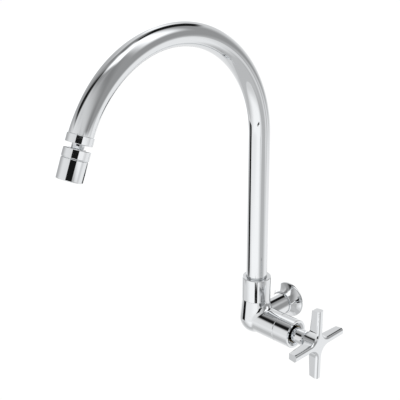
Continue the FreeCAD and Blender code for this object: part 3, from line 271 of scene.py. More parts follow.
def moulded_rubber(colour):
    """Nitrile rubber from a polished mould: near black, with a soft sheen and patches of dust."""
    material, tree, place = new_material("moulded nitrile rubber")
    dust = pattern(tree, place, width_mm=3, detail=4)
    surface(tree, colour, patches=dust, darkening=0.3, marks=dust, roughness=(0.42, 0.62),
            relief=(dust, 0.02, 0.2))
    return material


def lapped_ceramic(colour):
    """Alumina ground and lapped: off-white, close to a gloss, with a fine grain.

    Real grains are a few thousandths of a millimetre wide. They are drawn 0.6 mm wide, so that they show.
    """
    material, tree, place = new_material("lapped alumina")
    grain = pattern(tree, place, width_mm=0.6, detail=4)
    surface(tree, colour, patches=grain, darkening=0.06, marks=grain, roughness=(0.12, 0.24),
            settings={"IOR": 1.76})
    return material


def moulded_plastic(name, colour):
    """Injection-moulded acetal: a waxy half gloss with a slight orange peel, its dimples 0.9 mm wide."""
    material, tree, place = new_material(name)
    peel = pattern(tree, place, width_mm=0.9)
    surface(tree, colour, patches=peel, darkening=0.07, marks=peel, roughness=(0.34, 0.48),
            relief=(peel, 0.01, 0.25))
    return material


def bright_steel(colour):
    """Bright stainless steel: cooler and greyer than chrome, with fine drawn scratches.

    Real scratches are a few hundredths of a millimetre wide. They are drawn 0.3 mm wide, so that they show.
    """
    material, tree, place = new_material("bright stainless steel")
    scratches = pattern(tree, place, width_mm=0.3, detail=4, stretch=(0.2, 1.0, 1.0))
    surface(tree, colour, patches=scratches, darkening=0.15, marks=scratches, roughness=(0.16, 0.3),
            relief=(scratches, 0.01, 0.2), settings=METAL)
    return material


FINISHES = {}


def make_finishes(colours):
    """One material for each of the record's slots."""
    FINISHES.update({
        "polished_chrome": polished_chrome(colours.chrome),
        "tube_chrome": drawn_chrome(colours.chrome),
        "turned_brass": turned_brass(colours.brass),
        "black_rubber": moulded_rubber(colours.rubber),
        "white_ceramic": lapped_ceramic(colours.ceramic),
        "white_plastic": moulded_plastic("white acetal", colours.white_plastic),
        "grey_plastic": moulded_plastic("grey acetal", colours.grey_plastic),
        "bright_steel": bright_steel(colours.steel),
    })


def finish_nodes(*nodes):
    """Give CAD nodes that stay in view the finish of their slot."""
    for node in nodes:
        for slot in frame["nodes"][node].material_slots:
            slot.material = FINISHES[SLOT_OF[node]]


# Meshes

def new_piece(name, mesh, body, replaced):
    """A finished piece: smooth faces, the finish of the slot of the node that it stands for, and its body."""
    mesh.polygons.foreach_set("use_smooth", [True] * len(mesh.polygons))
    mesh.materials.clear()
    mesh.materials.append(FINISHES[SLOT_OF[replaced]])
    piece = bpy.data.objects.new(name, mesh)
    bpy.context.scene.collection.objects.link(piece)
    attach(piece, body)
    return piece


EASE_STEPS = 4        # straight lines in a rounded corner
ARC_STEPS = 16        # straight lines in an arc
HOLD = 0.12 * MM      # strip beside a rounded edge that keeps the flat next to it flat
LARGEST_REACH = 0.45  # share of a straight side that one rounding may take
MERGE = 1e-3 * MM     # points closer than this become one


def eased(corners, ease):
    """A closed outline with rounded corners; a corner's third number is a rounding of its own."""
    outline = []
    for number, corner in enumerate(corners):
        here = Vector(corner[:2])
        before = Vector(corners[number - 1][:2]) - here
        after = Vector(corners[(number + 1) % len(corners)][:2]) - here
        radius = corner[2] if len(corner) > 2 else ease
        if radius == 0:
            outline.append(here)
            continue
        outline += rounded_corner(here, before, after, radius)
    return outline


def rounded_corner(here, before, after, radius):
    """The points of one rounded corner, with a holding point on each side where there is room."""
    room = LARGEST_REACH * min(before.length, after.length)
    half_angle = before.angle(after) / 2
    reach = min(radius / math.tan(half_angle), room)
    radius = reach * math.tan(half_angle)
    middle = (before.normalized() + after.normalized()).normalized()
    centre = here + middle * (radius / math.sin(half_angle))
    first = here + before.normalized() * reach - centre
    last = here + after.normalized() * reach - centre
    turn = first.angle_signed(last)
    points = []
    for step in range(EASE_STEPS + 1):
        points.append(centre + rotated(first, -turn * step / EASE_STEPS))
    if reach + HOLD < before.length / 2:
        points.insert(0, here + before.normalized() * (reach + HOLD))
    if reach + HOLD < after.length / 2:
        points.append(here + after.normalized() * (reach + HOLD))
    return points


def rotated(vector, angle):
    """A flat vector turned by an angle."""
    return Vector((vector.x * math.cos(angle) - vector.y * math.sin(angle),
                   vector.x * math.sin(angle) + vector.y * math.cos(angle)))


def arc(centre, radius, start, end, steps=ARC_STEPS):
    """Points of an arc that easing leaves alone; angles in degrees from the outline's first axis."""
    points = []
    for step in range(steps + 1):
        angle = math.radians(start + (end - start) * step / steps)
        points.append((centre[0] + radius * math.cos(angle), centre[1] + radius * math.sin(angle), 0))
    return points


def turned(outline, about, sides):
    """A closed outline of (radius, along) points turned about an axis."""
    made = bmesh.new()
    rings = []
    for side in range(sides):
        angle = math.tau * side / sides
        across = Vector((math.cos(angle), math.sin(angle), 0))
        rings.append([made.verts.new(about @ (across * point.x + Vector((0, 0, point.y)))) for point in outline])
    for side, ring in enumerate(rings):
        following = rings[(side + 1) % sides]
        for number in range(len(outline)):
            after = (number + 1) % len(outline)
            made.faces.new((ring[number], following[number], following[after], ring[after]))
    bmesh.ops.remove_doubles(made, verts=made.verts, dist=MERGE)
    bmesh.ops.recalc_face_normals(made, faces=made.faces)
    mesh = bpy.data.meshes.new("turned")
    made.to_mesh(mesh)
    made.free()
    return mesh


def turned_piece(name, node, body, corners, about, sizes):
    """A turned piece in place of the CAD node of the same part."""
    mesh = turned(eased(corners, sizes.edge_ease), about, sizes.sides)
    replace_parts(new_piece(name, mesh, body, node), node)


def from_tree(tree, values, place):
    """The plain mesh of a geometry tree, moved to its place; values are given by the inputs' names."""
    holder = bpy.data.objects.new("holder", bpy.data.meshes.new("holder"))
    bpy.context.scene.collection.objects.link(holder)
    modifier = holder.modifiers.new("tree", "NODES")
    modifier.node_group = tree
    for item in tree.interface.items_tree:
        if item.in_out == "INPUT" and item.name in values:
            modifier[item.identifier] = values[item.name]
    evaluated = holder.evaluated_get(bpy.context.evaluated_depsgraph_get())
    mesh = bpy.data.meshes.new_from_object(evaluated)
    holder.modifiers.remove(modifier)
    bpy.data.objects.remove(holder)
    mesh.transform(place)
    return mesh


def new_tree(name, inputs):
    """A geometry tree with named inputs, given as name: (socket type, value)."""
    tree = bpy.data.node_groups.new(name, "GeometryNodeTree")
    tree.interface.new_socket(name="Geometry", in_out="OUTPUT", socket_type="NodeSocketGeometry")
    for label, (kind, value) in inputs.items():
        socket = tree.interface.new_socket(name=label, in_out="INPUT", socket_type=kind)
        if value is not None:
            socket.default_value = value
    return tree, add_node(tree, "NodeGroupInput").outputs


def close_tree(tree, geometry, material):
    """Real geometry with its material at the end of the tree."""
    real = add_node(tree, "GeometryNodeRealizeInstances", inputs={"Geometry": geometry})
    painted = add_node(tree, "GeometryNodeSetMaterial", inputs={"Geometry": real, "Material": material})
    add_node(tree, "NodeGroupOutput", inputs={"Geometry": painted})
    return tree


# Spout tube

def spout_path(tree, given):
    """A line bent into a straight riser and an arc that ends pointing down and forward."""
    line = add_node(tree, "GeometryNodeCurvePrimitiveLine")
    points = add_node(tree, "GeometryNodeResampleCurve", inputs={"Curve": line, "Count": given["Rings"]})
    arc_length = add_node(tree, MATH, MULTIPLY, {0: given["Bend Radius"], 1: given["Bend Angle"]})
    length = add_node(tree, MATH, ADD, {0: given["Riser"], 1: arc_length})
    factor = add_node(tree, "GeometryNodeSplineParameter").outputs["Factor"]
    travelled = add_node(tree, MATH, MULTIPLY, {0: factor, 1: length})
    straight = add_node(tree, MATH, MINIMUM, {0: travelled, 1: given["Riser"]})
    round_the_bend = add_node(tree, MATH, SUBTRACT, {0: travelled, 1: straight})
    angle = add_node(tree, MATH, DIVIDE, {0: round_the_bend, 1: given["Bend Radius"]})
    cosine = add_node(tree, MATH, COSINE, {0: angle})
    drop = add_node(tree, MATH, SUBTRACT, {0: cosine, 1: 1.0})
    forward = add_node(tree, MATH, MULTIPLY, {0: drop, 1: given["Bend Radius"]})
    sine = add_node(tree, MATH, SINE, {0: angle})
    rise = add_node(tree, MATH, MULTIPLY, {0: sine, 1: given["Bend Radius"]})
    height = add_node(tree, MATH, ADD, {0: straight, 1: rise})
    place = add_node(tree, "ShaderNodeCombineXYZ", inputs={"Y": forward, "Z": height})
    return add_node(tree, "GeometryNodeSetPosition", inputs={"Geometry": points, "Position": place})


def spout_tree():
    """The tube's skin along its path; the modifier after it gives the wall."""
    tree, given = new_tree("spout tube", {
        "Riser": ("NodeSocketFloat", 0.17), "Bend Radius": ("NodeSocketFloat", 0.11),
        "Bend Angle": ("NodeSocketFloat", 2.7), "Tube Radius": ("NodeSocketFloat", 0.011),
        "Rings": ("NodeSocketInt", 200), "Sides": ("NodeSocketInt", 96),
        "Material": ("NodeSocketMaterial", None),
    })
    ring = add_node(tree, "GeometryNodeCurvePrimitiveCircle", inputs={
        "Radius": given["Tube Radius"], "Resolution": given["Sides"],
    })
    skin = add_node(tree, "GeometryNodeCurveToMesh", inputs={
        "Curve": spout_path(tree, given), "Profile Curve": ring, "Fill Caps": False,
    })
    return close_tree(tree, skin, given["Material"])


def build_spout_tube(sizes):
    """The gooseneck: its bend follows from where the riser and the outlet stand in the frame."""
    start, _, _ = measure("spout_tube", RISER)
    low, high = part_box("spout_tube")
    outlet = RISER.inverted() @ OUTLET.translation
    flow = OUTLET.to_3x3() @ Vector((0, 0, 1))
    bend_angle = math.acos(flow.z)
    bend_radius = -outlet.y / (1 - math.cos(bend_angle))
    riser = outlet.z - bend_radius * math.sin(bend_angle) - start
    tube_radius = (high.x - low.x) / 2
    rings = int((riser + bend_radius * bend_angle) / sizes.tube_step)
    mesh = from_tree(spout_tree(), {
        "Riser": riser, "Bend Radius": bend_radius, "Bend Angle": bend_angle, "Tube Radius": tube_radius,
        "Rings": rings, "Sides": sizes.sides, "Material": FINISHES["tube_chrome"],
    }, RISER_UPRIGHT @ Matrix.Translation((0, 0, start)))
    piece = new_piece("gooseneck_tube", mesh, "spout", "spout_tube")
    wall = piece.modifiers.new("Wall", "SOLIDIFY")
    wall.thickness = sizes.tube_wall
    wall.offset = -1.0
    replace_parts(piece, "spout_tube")


# Turned covers of the fixed body. The outside comes from the frame's nodes; the inner sizes and the edges'
# own roundings are given here, in the solids' measures along and across each piece's axis.

def build_covers(sizes):
    """Collar, bonnet sleeve and wall flange, with the softened edges of polished work."""
    build_collar(sizes)
    build_bonnet(sizes)
    build_flange(sizes)


def build_collar(sizes):
    """The round nut that holds the spout, with its thread and the lip over the tube's bushing."""
    start, end, radius = measure("spout_collar", RISER)
    tube_bore, bore, lip, edge = 11.4 * MM, 12.75 * MM, 1.4 * MM, 0.6 * MM
    thread, thread_end = 13.05 * MM, 35.05 * MM
    turned_piece("collar_nut", "spout_collar", "valve_body", [
        (thread, start), (radius, start, 0.4 * MM), (radius, end, edge), (tube_bore, end, 0.3 * MM),
        (tube_bore, end - lip), (bore, end - lip), (bore, thread_end), (thread, thread_end),
    ], RISER, sizes)


def build_bonnet(sizes):
    """The barrel's sleeve: a web for the valve's bonnet and a bevelled recess for the handle's neck."""
    start, end, radius = measure("bonnet_sleeve", BARREL)
    cavity, web_start, web_end, web_bore = 13.3 * MM, 43.5 * MM, 47.5 * MM, 9.45 * MM
    recess, bevel, bevel_depth = 10.8 * MM, 13.0 * MM, 1.5 * MM
    turned_piece("barrel_sleeve", "bonnet_sleeve", "valve_body", [
        (cavity, start), (radius, start, 0.4 * MM), (radius, end, 0.5 * MM), (bevel, end),
        (recess, end - bevel_depth), (recess, web_end), (web_bore, web_end), (web_bore, web_start),
        (cavity, web_start),
    ], BARREL, sizes)


def build_flange(sizes):
    """The spun bell; its side is an arc, hollow toward the shank, between the lip and the rim."""
    start, end, radius = measure("wall_flange", SHANK)
    rim, wall, lip, bore, curve = 1.5 * MM, 1.2 * MM, 13.3 * MM, 12.15 * MM, 27.0 * MM
    outer = bell_side((radius, end - rim), (lip, start), curve)
    inner = bell_side((lip, start + wall), (radius - wall, end - rim), -curve + wall)
    turned_piece("wall_rose", "wall_flange", "valve_body", [
        (radius - wall, end), (radius, end), *outer, (bore, start), (bore, start + wall), *inner,
    ], SHANK, sizes)


def bell_side(first, last, radius):
    """An arc between two points; a negative radius puts its centre on the other side."""
    first = Vector(first)
    last = Vector(last)
    middle = (first + last) / 2
    chord = last - first
    normal = Vector((-chord.y, chord.x)).normalized() * math.copysign(1, radius)
    centre = middle + normal * math.sqrt(radius * radius - chord.length_squared / 4)
    begin = math.degrees(math.atan2(first.y - centre.y, first.x - centre.x))
    finish = math.degrees(math.atan2(last.y - centre.y, last.x - centre.x))
    return arc(centre, abs(radius), begin, finish)


# Swivel aerator

def build_aerator(sizes):
    """The outlet nut and, below it, the ball joint, the aerator's shell and its screen."""
    build_outlet_nut(sizes)
    build_stem(sizes)
    build_cap(sizes)
    build_sleeve(sizes)
    build_screen(sizes)


def build_outlet_nut(sizes):
    """The nut on the end of the spout, with the hole that the stem turns in."""
    start, end, radius = measure("outlet_nut", OUTLET)
    skirt, skirt_end, thread, web, hole = 11.25 * MM, 0.65 * MM, 10.45 * MM, 1.1 * MM, 6.3 * MM
    turned_piece("spout_end_nut", "outlet_nut", "spout", [
        (skirt, start, 0.15 * MM), (radius, start, 0.35 * MM), (radius, end, 0.5 * MM), (hole, end, 0.4 * MM),
        (hole, end - web), (thread, end - web), (thread, skirt_end), (skirt, skirt_end),
    ], OUTLET, sizes)


def build_stem(sizes):
    """The hollow stem: a flange inside the nut, a neck and the ball."""
    start, end, flange = measure("ball_stem", OUTLET)
    bore, neck, ball, flange_thickness = 3.0 * MM, 5.7 * MM, 8.2 * MM, 1.3 * MM
    top = math.degrees(math.acos(neck / ball))
    bottom = math.degrees(math.acos(bore / ball))
    turned_piece("ball_and_neck", "ball_stem", "aerator_stem", [
        (bore, start), (flange, start), (flange, start + flange_thickness), (neck, start + flange_thickness),
        *arc((0, BALL_PLACE), ball, -top, bottom, steps=2 * ARC_STEPS),
    ], OUTLET, sizes)


def build_cap(sizes):
    """The cap that holds the ball, threaded into the aerator's shell."""
    start, end, radius = measure("swivel_cap", OUTLET)
    opening, flare, seat = 7.3 * MM, 8.3 * MM, 8.3 * MM
    cap_end, groove, groove_end = 17.6 * MM, 11.4 * MM, 18.4 * MM
    thread, skirt_bore, seal_top, bore = 10.55 * MM, 9.35 * MM, 19.85 * MM, 8.4 * MM
    turned_piece("ball_cap", "swivel_cap", "aerator_head", [
        (flare, start, 0.3 * MM), (radius, start, 0.8 * MM), (radius, cap_end, 0.3 * MM), (groove, cap_end),
        (groove, groove_end), (thread, groove_end), (thread, end), (skirt_bore, end), (skirt_bore, seal_top),
        (bore, seal_top), (bore, BALL_PLACE),
        *arc((0, BALL_PLACE), seat, 0, -math.degrees(math.acos(opening / seat))),
    ], OUTLET, sizes)


def build_sleeve(sizes):
    """The aerator's shell, tapered to a lip at its mouth."""
    start, end, radius = measure("aerator_sleeve", OUTLET)
    thread, mouth_radius, lip, mouth = 10.6 * MM, 11.6 * MM, 1.2 * MM, 8.9 * MM
    bore, step = 9.9 * MM, 24.0 * MM
    turned_piece("aerator_shell", "aerator_sleeve", "aerator_head", [
        (thread, start), (radius, start, 0.3 * MM), (mouth_radius, end, 0.6 * MM), (mouth, end, 0.35 * MM),
        (mouth, end - lip), (bore, end - lip), (bore, step), (thread, step),
    ], OUTLET, sizes)


WIRE_POINTS = 60
WIRE_SIDES = 6
RIM_SIDES = 64


def wire_row(tree, given):
    """Straight wires from -1 to 1, one pitch apart on both sides of the middle of the disc."""
    pitches = add_node(tree, MATH, DIVIDE, {0: given["Radius"], 1: given["Pitch"]})
    half_count = add_node(tree, MATH, FLOOR, {0: pitches})
    both_sides = add_node(tree, MATH, MULTIPLY, {0: half_count, 1: 2.0})
    count = add_node(tree, MATH, ADD, {0: both_sides, 1: 1.0})
    reach = add_node(tree, MATH, MULTIPLY, {0: half_count, 1: given["Pitch"]})
    first = add_node(tree, MATH, MULTIPLY, {0: reach, 1: -1.0})
    row = add_node(tree, "GeometryNodeMeshLine", inputs={
        "Count": count,
        "Start Location": add_node(tree, "ShaderNodeCombineXYZ", inputs={"Y": first}),
        "Offset": add_node(tree, "ShaderNodeCombineXYZ", inputs={"Y": given["Pitch"]}),
    })
    line = add_node(tree, "GeometryNodeCurvePrimitiveLine", inputs={"Start": (-1, 0, 0), "End": (1, 0, 0)})
    wire = add_node(tree, "GeometryNodeResampleCurve", inputs={"Curve": line, "Count": WIRE_POINTS})
    wires = add_node(tree, "GeometryNodeInstanceOnPoints", inputs={"Points": row, "Instance": wire})
    return add_node(tree, "GeometryNodeRealizeInstances", inputs={"Geometry": wires})


def wave(tree, distance, pitch):
    """A wave that turns over from one crossing to the next."""
    crossings = add_node(tree, MATH, DIVIDE, {0: distance, 1: pitch})
    angle = add_node(tree, MATH, MULTIPLY, {0: crossings, 1: math.pi})
    return add_node(tree, MATH, COSINE, {0: angle})


def woven_wires(tree, given):
    """Wires that run one way across a disc and pass over and under every other wire of the other way."""
    position = add_node(tree, "GeometryNodeInputPosition")
    spot = add_node(tree, "ShaderNodeSeparateXYZ", inputs={"Vector": position}).outputs
    radius_squared = add_node(tree, MATH, POWER, {0: given["Radius"], 1: 2.0})
    offset_squared = add_node(tree, MATH, POWER, {0: spot["Y"], 1: 2.0})
    difference = add_node(tree, MATH, SUBTRACT, {0: radius_squared, 1: offset_squared})
    on_the_disc = add_node(tree, MATH, MAXIMUM, {0: difference, 1: 0.0})
    half_wire = add_node(tree, MATH, SQRT, {0: on_the_disc})
    across = add_node(tree, MATH, MULTIPLY, {0: spot["X"], 1: half_wire})
    waves = add_node(tree, MATH, MULTIPLY, {
        0: wave(tree, across, given["Pitch"]), 1: wave(tree, spot["Y"], given["Pitch"]),
    })
    depth = add_node(tree, MATH, MULTIPLY, {0: waves, 1: given["Wire"]})
    place = add_node(tree, "ShaderNodeCombineXYZ", inputs={"X": across, "Y": spot["Y"], "Z": depth})
    return add_node(tree, "GeometryNodeSetPosition", inputs={
        "Geometry": wire_row(tree, given), "Position": place,
    })


def screen_tree():
    """Wires both ways inside a round rim."""
    tree, given = new_tree("woven screen", {
        "Radius": ("NodeSocketFloat", 0.0088), "Pitch": ("NodeSocketFloat", 0.0012),
        "Wire": ("NodeSocketFloat", 0.00015), "Material": ("NodeSocketMaterial", None),
    })
    one_way = woven_wires(tree, given)
    other_way = add_node(tree, "GeometryNodeTransform", inputs={
        "Geometry": one_way, "Rotation": (0, 0, math.pi / 2), "Scale": (1, 1, -1),
    })
    rim = add_node(tree, "GeometryNodeCurvePrimitiveCircle", inputs={
        "Radius": given["Radius"], "Resolution": RIM_SIDES,
    })
    paths = add_node(tree, "GeometryNodeJoinGeometry")
    for path in (one_way, other_way, rim):
        tree.links.new(path.outputs[0], paths.inputs["Geometry"])
    section = add_node(tree, "GeometryNodeCurvePrimitiveCircle", inputs={
        "Radius": given["Wire"], "Resolution": WIRE_SIDES,
    })
    mesh = add_node(tree, "GeometryNodeCurveToMesh", inputs={
        "Curve": paths, "Profile Curve": section, "Fill Caps": True,
    })
    return close_tree(tree, mesh, given["Material"])


def build_screen(sizes):
    """The woven screen in the aerator's mouth."""
    start, end, radius = measure("aerator_screen", OUTLET)
    place = OUTLET @ Matrix.Translation((0, 0, (start + end) / 2))
    mesh = from_tree(screen_tree(), {
        "Radius": radius - sizes.mesh_wire, "Pitch": sizes.mesh_pitch, "Wire": sizes.mesh_wire,
        "Material": FINISHES["bright_steel"],
    }, place)
    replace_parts(new_piece("woven_screen", mesh, "aerator_head", "aerator_screen"), "aerator_screen")


# Inlet thread and grub screw

THREAD_STEPS = 64     # points in one turn of the thread
FLANK = 0.4           # half of a crest's width, as a share of the pitch


def thread_tree():
    """A diamond with its corner outward, swept along a helix."""
    tree, given = new_tree("pipe thread", {
        "Length": ("NodeSocketFloat", 0.014), "Pitch": ("NodeSocketFloat", 0.0018),
        "Radius": ("NodeSocketFloat", 0.0105), "Crest": ("NodeSocketFloat", 0.00025),
        "Material": ("NodeSocketMaterial", None),
    })
    turns = add_node(tree, MATH, DIVIDE, {0: given["Length"], 1: given["Pitch"]})
    helix = add_node(tree, "GeometryNodeCurveSpiral", inputs={
        "Resolution": THREAD_STEPS, "Rotations": turns, "Height": given["Length"],
        "Start Radius": given["Radius"], "End Radius": given["Radius"],
    })
    upright = add_node(tree, "GeometryNodeSetCurveNormal", {"mode": "Z_UP"}, {"Curve": helix})
    diamond = add_node(tree, "GeometryNodeCurvePrimitiveCircle", inputs={"Radius": 1.0, "Resolution": 4})
    flank = add_node(tree, MATH, MULTIPLY, {0: given["Pitch"], 1: FLANK})
    crest = add_node(tree, "ShaderNodeCombineXYZ", inputs={"X": given["Crest"], "Y": flank, "Z": 1.0})
    profile = add_node(tree, "GeometryNodeTransform", inputs={"Geometry": diamond, "Scale": crest})
    ridge = add_node(tree, "GeometryNodeCurveToMesh", inputs={
        "Curve": upright, "Profile Curve": profile, "Fill Caps": True,
    })
    return close_tree(tree, ridge, given["Material"])


def build_thread(sizes):
    """The crests of the half-inch pipe thread behind the flange."""
    _, end, _ = measure("faucet_body", SHANK)
    dims = frame["record"]["mounts"][0]["dims"]
    radius, length = dims["r_mm"] * MM, dims["length_mm"] * MM
    chamfer = 1.0 * MM
    margin = sizes.thread_pitch / 2
    place = SHANK @ Matrix.Translation((0, 0, end - chamfer - length + margin))
    mesh = from_tree(thread_tree(), {
        "Length": length - 2 * margin, "Pitch": sizes.thread_pitch, "Radius": radius,
        "Crest": sizes.thread_depth, "Material": FINISHES["polished_chrome"],
    }, place)
    new_piece("inlet_thread_crests", mesh, "valve_body", "faucet_body")


SCREW_SIDES = 48
SCREW_EASE = 0.3 * MM
SOCKET_SIDES = 6
SOCKET_FLOOR = 0.4    # how high the socket's floor lies, as a share of the screw's length


def build_grub_screw(sizes):
    """The set screw under the handle's neck, with its hexagon socket."""
    low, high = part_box("handle_grub_screw")
    centre = (low + high) / 2
    about = turning_frame((centre.x, centre.y, high.z), (0, 0, -1))
    depth = high.z - low.z
    radius = (high.x - low.x) / 2
    corner = sizes.screw_socket / 2 / math.cos(math.pi / SOCKET_SIDES)
    made = bmesh.new()
    socket = ring_of(made, SOCKET_SIDES, corner, depth)
    socket_floor = ring_of(made, SOCKET_SIDES, corner, depth * SOCKET_FLOOR)
    head, outer, inner, point = (ring_of(made, SCREW_SIDES, across, along) for across, along in (
        (radius - SCREW_EASE, depth), (radius, depth - SCREW_EASE), (radius, SCREW_EASE),
        (radius - SCREW_EASE, 0.0)))
    for near, far in ((socket_floor, socket), (head, outer), (outer, inner), (inner, point)):
        join_rings(made, near, far)
    made.faces.new(socket_floor)
    made.faces.new(point)
    bmesh.ops.triangle_fill(made, edges=ring_edges(made, socket) + ring_edges(made, head), use_beauty=True)
    bmesh.ops.recalc_face_normals(made, faces=made.faces)
    mesh = bpy.data.meshes.new("grub screw")
    made.to_mesh(mesh)
    made.free()
    mesh.transform(about)
    piece = new_piece("socket_set_screw", mesh, "handle", "handle_grub_screw")
    mesh.polygons.foreach_set("use_smooth", [False] * len(mesh.polygons))
    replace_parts(piece, "handle_grub_screw")


def ring_of(made, sides, radius, height):
    """The corners of a ring about the third axis."""
    return [made.verts.new((radius * math.cos(math.tau * side / sides),
                            radius * math.sin(math.tau * side / sides), height)) for side in range(sides)]


def join_rings(made, near, far):
    """Faces between two rings with the same number of corners."""
    for side in range(len(near)):
        after = (side + 1) % len(near)
        made.faces.new((near[side], near[after], far[after], far[side]))


def ring_edges(made, ring):
    """The edges round a ring, made where they are missing."""
    return [made.edges.get((ring[side], ring[(side + 1) % len(ring)])) or
            made.edges.new((ring[side], ring[(side + 1) % len(ring)])) for side in range(len(ring))]


# Studio

# What the polished chrome mirrors: name, azimuth from the front, elevation, roll, width, height and
# soft edge in degrees, and brightness, where 1 is white.
STUDIO = [
    ("grey wall, right", 115, 31, 11, 142, 82, 1.5, 0.35),
    ("shaded part of that wall", 82, 25, -17, 22, 64, 8, 0.27),
    ("black flag, overhead", -9, 73, -21, 25, 74.5, 12, 0.01),
    ("strip light, overhead", 26, 78, -2, 51, 17, 4, 1.35),
    ("grey wall, left", -80, 16, 12, 61, 95, 20, 0.5),
    ("wall, front", 20, 38, 27, 120, 32, 17.5, 0.73),
    ("softbox, right", 128, 57, 2, 24, 62, 10, 1.35),
    ("softbox, rear left", -147, 48, 8, 31, 15, 0.3, 1.21),
    ("wall, rear", -165, 16, 22, 42, 60, 14, 0.73),
    ("table, front", -5, -38, -3, 112, 43, 9.5, 1.11),
    ("table, right", 106, -43, -33, 37, 75, 2.5, 0.54),
    ("table, rear", 161, -35, 9, 53, 44, 9.5, 0.97),
    ("table, rear left", -139, -30, -4, 63, 86, 0.3, 0.89),
    ("table, left", -56, -46, -19, 51, 47, 20, 0.67),
    ("black flag, rear", -173, 56.5, 14.5, 24, 46.5, 3.5, 0.01),
    ("black flag, front left", -41.5, 49, 2, 27.5, 48.5, 6, 0.01),
    ("grey beside the front flag", -63, 51, 16, 14, 70, 7, 0.37),
    ("black card, low left", -56.5, -20.5, 0, 25.5, 11.5, 0.5, 0.01),
    ("black card, right", 47, 3, 17.5, 52.5, 21.5, 0.6, 0.01),
    ("black strip, low right", 39.5, -27.5, 0.5, 20, 2, 0.3, 0.01),
    ("softbox, left", -116, 2, 28, 52, 43, 5.5, 1.35),
    ("table edge, rear", -153.5, -26, -8.5, 38, 2, 0.3, 0.01),
    ("table under the faucet", 19, -79, 2, 117, 23, 1, 0.59),
    ("ceiling, left", -96, 75, -7, 35, 13, 5.5, 0.27),
    ("white card, right", 93, -5.5, 24.5, 40.5, 5.5, 1.5, 1.06),
]

# What lies behind the panels: a pale wall above the horizon and a table below it
SKY, TABLE = 0.9, 0.76        # brightness
HORIZON = -16.7               # elevation in degrees
HORIZON_SOFTNESS = 0.05       # half width of the change between them, as a height on the unit sphere

FLOOR_HALF = 6.0              # metres
FLOOR_COLOUR = (0.9, 0.9, 0.9, 1.0)
FLOOR_GLOW, GLOW_SHARE = 1.1, 0.85                # the glow that the eye sees, and its share of the floor
LAMP_SIZE, LAMP_PLACE = 1.2, (0.2, -0.4, 1.6)     # metres
SENSOR_WIDTH = 36.0           # millimetres


def build_studio(settings):
    """The light, the floor and the camera."""
    scene = bpy.context.scene
    scene.view_settings.view_transform = "Standard"
    make_world(scene)
    make_floor(settings)
    make_lamp(settings)
    make_camera(settings)


def panel_group():
    """A soft-edged panel seen in one direction of the studio, laid over what is behind it."""
    tree = bpy.data.node_groups.new("studio panel", "ShaderNodeTree")
    tree.interface.new_socket(name="Level", in_out="OUTPUT", socket_type="NodeSocketFloat")
    for label in ("Direction", "Centre", "Side", "Up"):
        tree.interface.new_socket(name=label, in_out="INPUT", socket_type="NodeSocketVector")
    for label in ("Behind", "Half Width", "Half Height", "Soft Edge", "Brightness"):
        tree.interface.new_socket(name=label, in_out="INPUT", socket_type="NodeSocketFloat")
    given = add_node(tree, "NodeGroupInput").outputs
    seen = {axis: add_node(tree, "ShaderNodeVectorMath", {"operation": "DOT_PRODUCT"}, {
        0: given["Direction"], 1: given[axis],
    }).outputs["Value"] for axis in ("Centre", "Side", "Up")}
    across = add_node(tree, MATH, ARCTAN2, {0: seen["Side"], 1: seen["Centre"]})
    upward = add_node(tree, MATH, ARCSINE, {0: seen["Up"]})
    inside = []
    for angle, half_size in ((across, given["Half Width"]), (upward, given["Half Height"])):
        away = add_node(tree, MATH, ABSOLUTE, {0: angle})
        near = add_node(tree, MATH, SUBTRACT, {0: half_size, 1: given["Soft Edge"]})
        far = add_node(tree, MATH, ADD, {0: half_size, 1: given["Soft Edge"]})
        inside.append(add_node(tree, "ShaderNodeMapRange", {"interpolation_type": "SMOOTHSTEP"}, {
            "Value": away, "From Min": near, "From Max": far, "To Min": 1.0, "To Max": 0.0,
        }))
    cover = add_node(tree, MATH, MULTIPLY, {0: inside[0], 1: inside[1]})
    step = add_node(tree, MATH, SUBTRACT, {0: given["Brightness"], 1: given["Behind"]})
    change = add_node(tree, MATH, MULTIPLY, {0: cover, 1: step})
    level = add_node(tree, MATH, ADD, {0: given["Behind"], 1: change})
    add_node(tree, "NodeGroupOutput", inputs={"Level": level})
    return tree


def panel_axes(azimuth, elevation, roll):
    """The panel's centre, right-hand and upward directions."""
    turn = math.radians(azimuth)
    rise = math.radians(elevation)
    centre = Vector((math.sin(turn) * math.cos(rise), -math.cos(turn) * math.cos(rise), math.sin(rise)))
    side = Vector((math.cos(turn), math.sin(turn), 0))
    up = side.cross(centre) * -1
    tilt = Matrix.Rotation(-math.radians(roll), 3, centre)
    return centre, tilt @ side, tilt @ up


